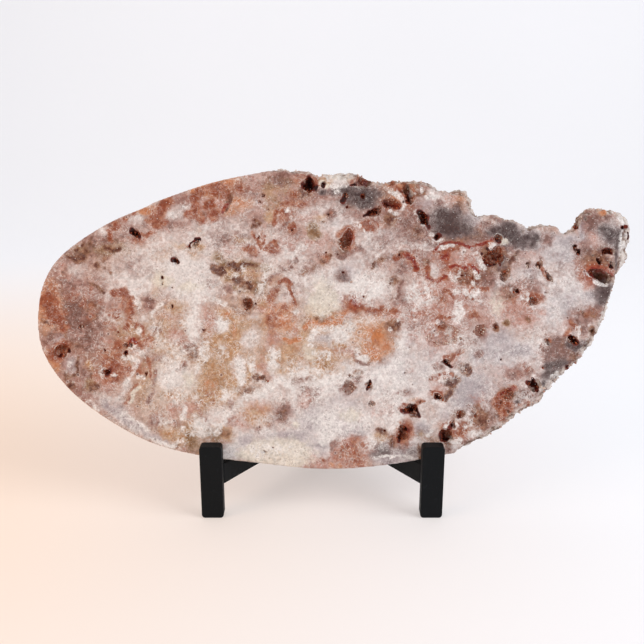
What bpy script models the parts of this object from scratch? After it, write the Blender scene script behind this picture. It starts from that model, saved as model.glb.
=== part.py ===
"""Pink amethyst slice leaning on a black wooden easel stand.

Metres, +Z up, and the cut face looks along -Y. The slice is one natural stone: it has a polished
rim on the left and along the bottom, and its rough natural rind on the top and on the right.
"""
import bpy
import bmesh
from math import cos, radians, tan, tau
from typing import NamedTuple

from mathutils import Matrix, Vector, noise

# The slice. Its own frame has u to the right, v up along the cut face and w back into the stone.
SLICE_LEAN = radians(16.8)
SLICE_THICKNESS = 0.018
SLICE_FOOT_Z = 0.0326
EDGE_RISE_AT_POST = 0.0073
RIM_BEVEL = 0.0007
UNDERCUT_LEFT = 0.0034
UNDERCUT_RIGHT = 0.0045
RIND_STEP = 0.0042
POLISHED_STEP = 0.0085
RIND_LUMP_SIZE = 0.011
RIND_LUMP_HEIGHT = 0.0019
LUMP_CREST = 0.95
LUMP_SLOPE = 1.8
LUMP_GRAIN = 0.45
LARGE_PIT = 0.0099
PIT_SETTING = 0.13

# The stand, made of one size of flat wooden strip.
STRIP_THICKNESS = 0.009
STRIP_WIDTH = 0.0148
POST_HEIGHT = 0.052
POST_SPACING = 0.1474
RAIL_UNDERSIDE_Z = 0.021
RAIL_SPLAY = radians(35.0)
PROP_LEAN = radians(20.0)
CORNER_RADIUS = 0.0022
EDGE_ROUND = 0.0007
JOINT_GAP = 0.0003

# The slice reaches further to the right than to the left of the stand's middle.
STAND_TO_ORIGIN = Vector((-0.0090, -0.0489, 0.0))

AMETHYST_PINK = (0.46, 0.27, 0.25, 1.0)
AMETHYST_ROUGHNESS = 0.25
BLACK_PAINT = (0.012, 0.013, 0.015, 1.0)
PAINT_ROUGHNESS = 0.45

# Steps of the polished rim between its bevels: how deep as a share of the thickness, and how far
# inside the outline as a share of the undercut.
POLISHED_RIM = ((0.28, 0.22), (0.50, 0.46), (0.72, 0.72))

# Steps of the natural rim: how deep as a share of the thickness, how far inside the outline as a
# share of the crust, how far besides in metres, and the share of the lumps.
NATURAL_RIM = (
    (0.0, 1.0, 0.0, 0.15), (0.10, 0.55, 0.0, 0.5), (0.28, 0.12, 0.0, 1.0), (0.50, 0.0, 0.0006, 1.0),
    (0.72, 0.0, 0.0016, 1.0), (0.90, 0.0, 0.0036, 0.6), (1.0, 0.0, 0.0056, 0.2),
)

# How uneven a cavity's cutter is, how often its unevenness turns, and how far apart in the noise
# two cutters lie for each metre between them.
CUTTER_UNEVEN = 0.30
CUTTER_TURNS = 1.6
CUTTER_SPREAD = 90.0

# Points of the polished edge (u, v), from the bottom right round the left tip to the top.
POLISHED_EDGE = (
    (0.0833, 0.0098), (0.0444, 0.0030), (0.0020, 0.0000), (-0.0440, 0.0043), (-0.0831, 0.0094),
    (-0.1169, 0.0186), (-0.1492, 0.0367), (-0.1727, 0.0564), (-0.1878, 0.0790), (-0.1913, 0.1019),
    (-0.1875, 0.1254), (-0.1747, 0.1449), (-0.1458, 0.1649), (-0.1178, 0.1772), (-0.1134, 0.1798),
    (-0.0753, 0.1929), (-0.0417, 0.2000),
)

# Points of the natural edge (u, v, crust), clockwise from the top: crust is how far the rind
# stands out past the cut face there.
NATURAL_EDGE = (
    (-0.0289, 0.2017, 0.0015), (-0.0161, 0.2009, 0.0020), (-0.0074, 0.2004, 0.0030),
    (-0.0034, 0.1980, 0.0030), (0.0027, 0.1997, 0.0050), (0.0134, 0.2014, 0.0070),
    (0.0285, 0.1980, 0.0060), (0.0362, 0.1937, 0.0030), (0.0450, 0.1935, 0.0020),
    (0.0548, 0.1950, 0.0030), (0.0659, 0.1950, 0.0030), (0.0753, 0.1909, 0.0025),
    (0.0827, 0.1872, 0.0025), (0.0934, 0.1888, 0.0045), (0.0995, 0.1852, 0.0055),
    (0.1015, 0.1771, 0.0040), (0.1048, 0.1697, 0.0015), (0.1129, 0.1724, 0.0020),
    (0.1257, 0.1684, 0.0020), (0.1331, 0.1662, 0.0020), (0.1384, 0.1618, 0.0015),
    (0.1431, 0.1637, 0.0015), (0.1499, 0.1648, 0.0020), (0.1580, 0.1640, 0.0015),
    (0.1622, 0.1590, 0.0010), (0.1690, 0.1608, 0.0010), (0.1722, 0.1655, 0.0015),
    (0.1741, 0.1712, 0.0025), (0.1790, 0.1746, 0.0035), (0.1882, 0.1768, 0.0040),
    (0.1989, 0.1740, 0.0045), (0.2070, 0.1687, 0.0060), (0.2093, 0.1637, 0.0070),
    (0.2070, 0.1478, 0.0075), (0.2040, 0.1375, 0.0060), (0.1989, 0.1311, 0.0025),
    (0.1969, 0.1207, 0.0030), (0.1942, 0.1120, 0.0030), (0.1908, 0.0999, 0.0040),
    (0.1888, 0.0945, 0.0045), (0.1814, 0.0831, 0.0050), (0.1716, 0.0716, 0.0055),
    (0.1613, 0.0609, 0.0060), (0.1519, 0.0515, 0.0060), (0.1485, 0.0448, 0.0060),
    (0.1351, 0.0383, 0.0055), (0.1236, 0.0293, 0.0050), (0.1092, 0.0206, 0.0045),
    (0.1001, 0.0163, 0.0030), (0.0914, 0.0118, 0.0015),
)


class Pit(NamedTuple):
    """A cavity in a face: its place, its width along the turned axis, height, turn and depth."""

    u: float
    v: float
    width: float
    height: float
    turn: float
    depth: float


# The cavities of the cut face, from left to right. The turn is in degrees.
FRONT_PITS = (
    Pit(-0.1750, 0.0800, 0.0120, 0.0085, 20, 0.0045),
    Pit(-0.1625, 0.0965, 0.0050, 0.0040, 0, 0.0025),
    Pit(-0.1450, 0.0655, 0.0060, 0.0050, 0, 0.0030),
    Pit(-0.1320, 0.0830, 0.0055, 0.0045, 0, 0.0028),
    Pit(-0.1257, 0.1583, 0.0075, 0.0034, -20, 0.0040),
    Pit(-0.0862, 0.1520, 0.0070, 0.0030, 35, 0.0035),
    Pit(-0.0985, 0.1402, 0.0046, 0.0030, -25, 0.0028),
    Pit(-0.0497, 0.1120, 0.0090, 0.0080, 0, 0.0038),
    Pit(-0.0087, 0.1918, 0.0080, 0.0105, 0, 0.0060),
    Pit(0.0161, 0.1545, 0.0085, 0.0130, -10, 0.0055),
    Pit(0.0279, 0.1932, 0.0150, 0.0090, 25, 0.0080),
    Pit(0.0158, 0.1840, 0.0046, 0.0042, 0, 0.0035),
    Pit(0.0279, 0.1846, 0.0042, 0.0046, 0, 0.0035),
    Pit(0.0350, 0.1732, 0.0125, 0.0046, 25, 0.0050),
    Pit(0.0460, 0.1780, 0.0130, 0.0065, -10, 0.0055),
    Pit(0.0578, 0.1850, 0.0065, 0.0150, 15, 0.0060),
    Pit(0.0680, 0.1688, 0.0058, 0.0115, 30, 0.0075),
    Pit(0.0770, 0.1570, 0.0038, 0.0036, 0, 0.0030),
    Pit(0.0175, 0.0555, 0.0100, 0.0085, 0, 0.0035),
    Pit(0.0316, 0.0568, 0.0066, 0.0046, -45, 0.0040),
    Pit(0.0324, 0.0450, 0.0048, 0.0044, 0, 0.0030),
    Pit(0.0600, 0.0408, 0.0098, 0.0072, -20, 0.0060),
    Pit(0.0533, 0.0242, 0.0080, 0.0125, 10, 0.0055),
    Pit(0.0772, 0.0488, 0.0066, 0.0050, 0, 0.0035),
    Pit(0.0833, 0.0720, 0.0085, 0.0040, -30, 0.0040),
    Pit(0.0830, 0.0225, 0.0085, 0.0105, 15, 0.0065),
    Pit(0.0882, 0.0300, 0.0056, 0.0050, 0, 0.0035),
    Pit(0.0930, 0.0365, 0.0056, 0.0050, 0, 0.0030),
    Pit(0.0810, 0.0905, 0.0230, 0.0145, 15, 0.0030),
    Pit(0.1064, 0.0935, 0.0110, 0.0080, 30, 0.0030),
    Pit(0.1150, 0.1436, 0.0125, 0.0130, 0, 0.0060),
    Pit(0.1187, 0.1548, 0.0065, 0.0042, 0, 0.0035),
    Pit(0.1221, 0.1300, 0.0052, 0.0090, -20, 0.0045),
    Pit(0.1310, 0.1208, 0.0050, 0.0048, 0, 0.0035),
    Pit(0.1411, 0.1122, 0.0078, 0.0062, 0, 0.0038),
    Pit(0.1378, 0.1384, 0.0048, 0.0036, 30, 0.0030),
    Pit(0.1465, 0.1380, 0.0042, 0.0050, 0, 0.0030),
    Pit(0.1527, 0.1290, 0.0044, 0.0072, 30, 0.0040),
    Pit(0.1700, 0.1480, 0.0042, 0.0056, 20, 0.0035),
    Pit(0.1925, 0.1460, 0.0095, 0.0042, 10, 0.0045),
    Pit(0.1946, 0.1372, 0.0052, 0.0058, 0, 0.0045),
    Pit(0.1862, 0.1405, 0.0038, 0.0066, 15, 0.0040),
    Pit(0.1872, 0.1300, 0.0185, 0.0088, -25, 0.0075),
    Pit(0.1430, 0.0562, 0.0088, 0.0078, 0, 0.0055),
    Pit(0.1693, 0.0872, 0.0090, 0.0068, -20, 0.0050),
    Pit(0.1525, 0.0862, 0.0052, 0.0046, 0, 0.0035),
    Pit(0.1244, 0.0505, 0.0110, 0.0080, 30, 0.0025),
)

# The cavities of the back face: u is read from the front, as it is there.
BACK_PITS = (
    Pit(-0.1380, 0.1050, 0.0120, 0.0070, 20, 0.0045),
    Pit(-0.0920, 0.0700, 0.0080, 0.0060, 0, 0.0040),
    Pit(-0.0600, 0.1500, 0.0140, 0.0080, -30, 0.0050),
    Pit(0.0400, 0.1750, 0.0160, 0.0090, 10, 0.0060),
    Pit(0.0850, 0.0700, 0.0110, 0.0130, 0, 0.0055),
    Pit(0.1200, 0.1200, 0.0180, 0.0110, 35, 0.0060),
    Pit(0.1500, 0.0850, 0.0090, 0.0070, 0, 0.0045),
    Pit(0.1780, 0.1350, 0.0130, 0.0100, -15, 0.0060),
)


def clear_scene():
    """Remove what the scene holds."""
    for old in list(bpy.data.objects):
        bpy.data.objects.remove(old, do_unlink=True)


def new_collection(name):
    """Return a collection of that name, linked to the scene."""
    group = bpy.data.collections.new(name)
    bpy.context.scene.collection.children.link(group)
    return group


def new_material(name, colour, roughness):
    """Return a Principled material of one colour."""
    material = bpy.data.materials.new(name)
    material.use_nodes = True
    material.diffuse_color = colour
    shader = material.node_tree.nodes["Principled BSDF"]
    shader.inputs["Base Color"].default_value = colour
    shader.inputs["Roughness"].default_value = roughness
    shader.inputs["Metallic"].default_value = 0.0
    return material


def new_object(name, mesh_builder, group, material=None):
    """Write a bmesh into a new object of that name and put it in the collection."""
    bmesh.ops.recalc_face_normals(mesh_builder, faces=mesh_builder.faces)
    mesh = bpy.data.meshes.new(name)
    mesh_builder.to_mesh(mesh)
    mesh_builder.free()
    thing = bpy.data.objects.new(name, mesh)
    group.objects.link(thing)
    if material is not None:
        mesh.materials.append(material)
    return thing


def spline_point(before, start, end, after, share):
    """Return a point of the Catmull-Rom curve between start and end."""
    squared = share * share
    cubed = squared * share
    return 0.5 * (
        2.0 * start
        + (end - before) * share
        + (2.0 * before - 5.0 * start + 4.0 * end - after) * squared
        + (3.0 * start - before - 3.0 * end + after) * cubed
    )


def outline_points():
    """Return the slice's outline as (point, crust, roughness), anticlockwise seen from the front.

    The point is where the stone reaches furthest, crust is how far the cut face's edge lies
    inside it, and roughness runs from 0 on the polished rim to 1 on the natural rind.
    """
    corners = [(Vector((u, v)), 0.0, 0.0) for u, v in POLISHED_EDGE]
    corners += [(Vector((u, v)), crust, 1.0) for u, v, crust in NATURAL_EDGE]
    count = len(corners)
    outline = []
    for index in range(count):
        four = [corners[(index + shift) % count] for shift in (-1, 0, 1, 2)]
        places = [corner[0] for corner in four]
        rough = four[1][2] + four[2][2] > 0.0
        step = RIND_STEP if rough else POLISHED_STEP
        pieces = max(1, round((places[2] - places[1]).length / step))
        for piece in range(pieces):
            share = piece / pieces
            point = spline_point(*places, share)
            crust = four[1][1] + (four[2][1] - four[1][1]) * share
            roughness = four[1][2] + (four[2][2] - four[1][2]) * share
            outline.append((point, crust, roughness))
    outline.reverse()
    return outline


def outward_normals(outline):
    """Return the unit normal that points out of the stone at each point of the outline."""
    count = len(outline)
    normals = []
    for index in range(count):
        along = outline[(index + 1) % count][0] - outline[index - 1][0]
        normals.append(Vector((along.y, -along.x)).normalized())
    return normals


def undercut(u):
    """Return how far the back face's edge lies inside the front one, on the polished rim."""
    share = min(1.0, max(0.0, 0.5 + u / POST_SPACING))
    return UNDERCUT_LEFT + (UNDERCUT_RIGHT - UNDERCUT_LEFT) * share


def rim_profile(point, crust, roughness):
    """Return the rim's steps from the front to the back, as (depth, inset, lump share)."""
    back = undercut(point.x)
    depth = SLICE_THICKNESS
    polished = [(0.0, RIM_BEVEL, 0.0), (RIM_BEVEL, 0.0, 0.0)]
    polished += [(share * depth, inset * back, 0.0) for share, inset in POLISHED_RIM]
    polished += [(depth - RIM_BEVEL, back, 0.0), (depth, back + RIM_BEVEL, 0.0)]
    natural = [(share * depth, part * crust + inset, lumps) for share, part, inset, lumps in NATURAL_RIM]
    steps = []
    for smooth, rough in zip(polished, natural):
        steps.append([a + (b - a) * roughness for a, b in zip(smooth, rough)])
    return steps


def lump_height(place):
    """Return how far the rind's round lumps stand out at a place, from their rounded cells."""
    distances = noise.voronoi(place / RIND_LUMP_SIZE)[0]
    fine = noise.noise(2.2 * place / RIND_LUMP_SIZE)
    return RIND_LUMP_HEIGHT * (LUMP_CREST - LUMP_SLOPE * distances[0] + LUMP_GRAIN * fine)


def slice_body():
    """Return the stone without its cavities, as a bmesh: rings from the front edge to the back."""
    outline = outline_points()
    normals = outward_normals(outline)
    body = bmesh.new()
    rings = []
    for (point, crust, roughness), outward in zip(outline, normals):
        column = []
        for depth, inset, lumps in rim_profile(point, crust, roughness):
            place = Vector((point.x, depth, point.y))
            reach = lumps * lump_height(place) - inset
            column.append(body.verts.new((point.x + outward.x * reach, depth, point.y + outward.y * reach)))
        rings.append(column)
    count = len(rings)
    steps = len(rings[0])
    for index in range(count):
        here = rings[index]
        after = rings[(index + 1) % count]
        for step in range(steps - 1):
            body.faces.new((here[step], after[step], after[step + 1], here[step + 1]))
    body.faces.new([column[0] for column in rings])
    body.faces.new([column[-1] for column in reversed(rings)])
    return body


def pit_cutter(name, pit, face_depth, group):
    """Make the cutter of one cavity: an uneven blob, centred just inside the face."""
    blob = bmesh.new()
    large = min(pit.width, pit.height) > LARGE_PIT
    bmesh.ops.create_icosphere(blob, subdivisions=3 if large else 2, radius=1.0)
    inwards = PIT_SETTING * pit.depth * (1.0 if face_depth == 0.0 else -1.0)
    centre = Vector((pit.u, face_depth + inwards, pit.v))
    spread = Matrix.Diagonal((0.5 * pit.width, pit.depth, 0.5 * pit.height, 1.0))
    turn = Matrix.Rotation(-radians(pit.turn), 4, "Y")
    for vertex in blob.verts:
        uneven = 1.0 + CUTTER_UNEVEN * noise.noise(CUTTER_TURNS * vertex.co + CUTTER_SPREAD * centre)
        vertex.co = centre + turn @ spread @ (vertex.co * uneven)
    cutter = new_object(name, blob, group)
    cutter.hide_render = True
    cutter.display_type = "WIRE"
    return cutter


def cut_away(thing, cutters):
    """Subtract every object of the collection from the thing."""
    cut = thing.modifiers.new("cavities", "BOOLEAN")
    cut.operation = "DIFFERENCE"
    cut.solver = "EXACT"
    cut.operand_type = "COLLECTION"
    cut.collection = cutters


def stand_to_slice():
    """Return the matrix that leans the slice's own frame back against the stand."""
    setback = JOINT_GAP - EDGE_RISE_AT_POST * tan(SLICE_LEAN)
    return Matrix.Translation((0.0, setback, SLICE_FOOT_Z)) @ Matrix.Rotation(-SLICE_LEAN, 4, "X")


def make_slice(group, cutters, material):
    """Make the stone: the lofted body less the cavities of both faces."""
    lean = stand_to_slice()
    stone = new_object("amethyst_slice", slice_body(), group, material)
    stone.matrix_world = lean
    for index, pit in enumerate(FRONT_PITS):
        pit_cutter(f"front_pit_{index + 1}", pit, 0.0, cutters).matrix_world = lean
    for index, pit in enumerate(BACK_PITS):
        pit_cutter(f"back_pit_{index + 1}", pit, SLICE_THICKNESS, cutters).matrix_world = lean
    cut_away(stone, cutters)
    stone.data.set_sharp_from_angle(angle=radians(35.0))
    return stone


def round_edges(thing):
    """Round the strip's long edges a little."""
    bevel = thing.modifiers.new("rounded edges", "BEVEL")
    bevel.width = EDGE_ROUND
    bevel.segments = 2
    bevel.limit_method = "ANGLE"
    bevel.angle_limit = radians(50.0)


def strip_box(width, thickness, length):
    """Return a box of a strip's section that stands on its end at the origin."""
    box = bmesh.new()
    bmesh.ops.create_cube(box, size=1.0)
    bmesh.ops.scale(box, vec=(width, thickness, length), verts=box.verts)
    bmesh.ops.translate(box, vec=(0.0, 0.0, 0.5 * length), verts=box.verts)
    return box


def trim(strip, point, normal):
    """Cut off what lies past the plane and close the end."""
    geometry = strip.verts[:] + strip.edges[:] + strip.faces[:]
    bmesh.ops.bisect_plane(strip, geom=geometry, plane_co=point, plane_no=normal, clear_outer=True)
    bmesh.ops.holes_fill(strip, edges=[edge for edge in strip.edges if edge.is_boundary])


def make_post(name, side, group, material):
    """Make a front post, whose upper end is the lip that holds the slice's foot."""
    post = strip_box(STRIP_WIDTH, STRIP_THICKNESS, POST_HEIGHT)
    corners = [edge for edge in post.edges if abs(edge.verts[0].co.y - edge.verts[1].co.y) > EDGE_ROUND]
    bmesh.ops.bevel(post, geom=corners, offset=CORNER_RADIUS, segments=4, profile=0.5, affect="EDGES")
    thing = new_object(name, post, group, material)
    thing.location = (0.5 * side * POST_SPACING, -0.5 * STRIP_THICKNESS, 0.0)
    round_edges(thing)
    return thing


def make_rail(name, side, group, material):
    """Make a rail, which runs back and inwards from its post to the side of the prop leg."""
    reach = POST_SPACING
    rail = strip_box(STRIP_THICKNESS, STRIP_WIDTH, reach)
    inner_edge = 0.5 * (POST_SPACING - STRIP_WIDTH)
    middle = inner_edge + 0.5 * STRIP_THICKNESS / cos(RAIL_SPLAY)
    lay_back = Matrix.Rotation(-tau / 4.0, 4, "X")
    swing = Matrix.Rotation(side * RAIL_SPLAY, 4, "Z")
    start = Vector((side * middle, 0.0, RAIL_UNDERSIDE_Z + 0.5 * STRIP_WIDTH))
    overrun = Matrix.Translation((0.0, -STRIP_THICKNESS, 0.0))
    bmesh.ops.transform(rail, matrix=Matrix.Translation(start) @ swing @ overrun @ lay_back, verts=rail.verts)
    trim(rail, Vector((0.0, JOINT_GAP, 0.0)), Vector((0.0, -1.0, 0.0)))
    prop_side = side * (0.5 * STRIP_WIDTH + JOINT_GAP)
    trim(rail, Vector((prop_side, 0.0, 0.0)), Vector((-side, 0.0, 0.0)))
    thing = new_object(name, rail, group, material)
    round_edges(thing)
    return thing


def make_prop(name, group, material):
    """Make the prop leg, which leans forwards to carry the slice's back."""
    inner_edge = 0.5 * (POST_SPACING - STRIP_WIDTH)
    meeting = (inner_edge + 0.5 * STRIP_THICKNESS / cos(RAIL_SPLAY) - 0.5 * STRIP_WIDTH) / tan(RAIL_SPLAY)
    foot = meeting + (RAIL_UNDERSIDE_Z + 0.5 * STRIP_WIDTH) * tan(PROP_LEAN)
    prop = strip_box(STRIP_WIDTH, STRIP_THICKNESS, 2.0 * foot)
    drop = Matrix.Translation((0.0, 0.0, -STRIP_WIDTH))
    lean = Matrix.Translation((0.0, foot, 0.0)) @ Matrix.Rotation(PROP_LEAN, 4, "X")
    bmesh.ops.transform(prop, matrix=lean @ drop, verts=prop.verts)
    trim(prop, Vector((0.0, 0.0, 0.0)), Vector((0.0, 0.0, -1.0)))
    to_stone = stand_to_slice()
    stone_back = to_stone @ Vector((0.0, SLICE_THICKNESS + JOINT_GAP, 0.0))
    trim(prop, stone_back, to_stone.to_3x3() @ Vector((0.0, -1.0, 0.0)))
    thing = new_object(name, prop, group, material)
    round_edges(thing)
    return thing


def main():
    """Build the slice and its stand under one empty at the middle of the stand's front."""
    clear_scene()
    parts = new_collection("pink amethyst slice on its stand")
    cutters = new_collection("cavity cutters")
    stone_finish = new_material("polished amethyst", AMETHYST_PINK, AMETHYST_ROUGHNESS)
    paint = new_material("black paint", BLACK_PAINT, PAINT_ROUGHNESS)
    middle = bpy.data.objects.new("stand middle", None)
    parts.objects.link(middle)
    pieces = [make_slice(parts, cutters, stone_finish)]
    for side, word in ((-1, "left"), (1, "right")):
        pieces.append(make_post(f"front_post_{word}", side, parts, paint))
        pieces.append(make_rail(f"rail_{word}", side, parts, paint))
    pieces.append(make_prop("prop_leg", parts, paint))
    for piece in pieces + list(cutters.objects):
        piece.parent = middle
    middle.location = STAND_TO_ORIGIN


main()
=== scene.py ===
"""Looks of the pink amethyst slice on its black stand.

The stone stands for its CAD node and keeps its place. It is remeshed finely, its cavities and its
natural rind are roughened, and its stains are listed marks that the shader breaks up into
ragged mineral patches. The stand's CAD nodes stay and get their paint.
"""
import logging
import math
from dataclasses import dataclass
from enum import Enum
from functools import partial, reduce
from itertools import product
from typing import NamedTuple

import bpy
import numpy as np
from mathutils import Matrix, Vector, kdtree


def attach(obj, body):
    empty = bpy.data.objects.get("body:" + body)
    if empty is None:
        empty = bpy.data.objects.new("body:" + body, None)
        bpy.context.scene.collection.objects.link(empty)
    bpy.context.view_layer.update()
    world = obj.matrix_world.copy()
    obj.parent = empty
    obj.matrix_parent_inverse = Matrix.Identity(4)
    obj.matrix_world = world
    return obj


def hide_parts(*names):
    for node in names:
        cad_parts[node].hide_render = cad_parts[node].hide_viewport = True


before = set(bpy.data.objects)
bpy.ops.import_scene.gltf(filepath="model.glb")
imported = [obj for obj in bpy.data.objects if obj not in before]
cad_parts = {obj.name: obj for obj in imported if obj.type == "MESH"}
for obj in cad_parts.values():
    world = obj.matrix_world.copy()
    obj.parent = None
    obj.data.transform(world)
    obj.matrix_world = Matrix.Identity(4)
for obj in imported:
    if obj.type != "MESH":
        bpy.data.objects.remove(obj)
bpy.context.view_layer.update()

MM = 0.001

# How bright the studio lights a white surface: screen tones are divided by it to get colours.
LIGHT_LEVEL = 1.25

# How much white the mirrored room adds to polished stone, and the most of a colour that it may be.
POLISH_SHEEN = 0.018
SHEEN_LIMIT = 0.5

# The curve of screen tones: a straight line below its knee and a power above it.
SCREEN_WHITE = 255.0
SRGB_KNEE = 0.04045
SRGB_SLOPE = 12.92
SRGB_OFFSET = 0.055
SRGB_POWER = 2.4

# The primes and the highest number of the fixed random numbers.
CELL_PRIMES = (73856093, 19349663, 83492791)
SEED_PRIME = 668265263
MIX_PRIME = 1274126177
HASH_MASK = 0xFFFFFF
SEEDS_A_TURN = 10

# Farther than any distance that is measured, and the middle of a material's noise.
FAR_AWAY = 9.0
NOISE_MIDDLE = 0.5

Colour = tuple[float, float, float, float]
Place = tuple[float, float, float]
Socket = bpy.types.NodeSocket
Sockets = bpy.types.bpy_prop_collection
Inputs = dict[int | str, object]

# Where a soft step is 0 and where it is 1, and the strength and the depth of a relief.
Step = tuple[float, float]
Relief = tuple[float, float]


class Stain(Enum):
    """The kinds of mineral stain in the stone, in the order in which they lie over each other."""

    ROSE = "rose"
    SAND = "sand"
    MILK = "milk"
    GREY = "grey"
    MAUVE = "mauve"
    PINK = "pink"
    OCHRE = "ochre"
    OLIVE = "olive"
    ORANGE = "orange"
    BROWN = "brown"
    RUST = "rust"
    RED = "red"
    CHARCOAL = "charcoal"
    CREAM = "cream"
    WHITE = "white"
    # Painted shade in and round the cavities and cracks, in their dark red-brown.
    DARK = "dark"


class Skin(Enum):
    """The kinds of surface on the stone that aren't stains, and the painted shade of its cavities."""

    PIT = "pit"
    # Painted shade of the cavities' depths and of the dents.
    DEPTH_SHADE = "depth_shade"
    FROST = "frost"
    RIND = "rind"
    CREVICE = "crevice"
    SAWN = "sawn"


class Crystal(Enum):
    """What the mesh of the crystals keeps at its points."""

    TINT = "tint"


class Patch(NamedTuple):
    """A stained patch: its place and size on the cut face in millimetres, turn and strength."""

    u: float
    v: float
    width: float
    height: float
    turn: float
    strength: float


class Streak(NamedTuple):
    """A stained line: its width in millimetres, strength and points."""

    width: float
    strength: float
    points: tuple[tuple[float, float], ...]


class Spots(NamedTuple):
    """Round stained spots of one size: their width in millimetres, strength and places."""

    width: float
    strength: float
    places: tuple[tuple[float, float], ...]


class Dent(NamedTuple):
    """A small cavity: its place, size and depth in millimetres, and its turn."""

    u: float
    v: float
    width: float
    height: float
    turn: float
    depth: float


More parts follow.
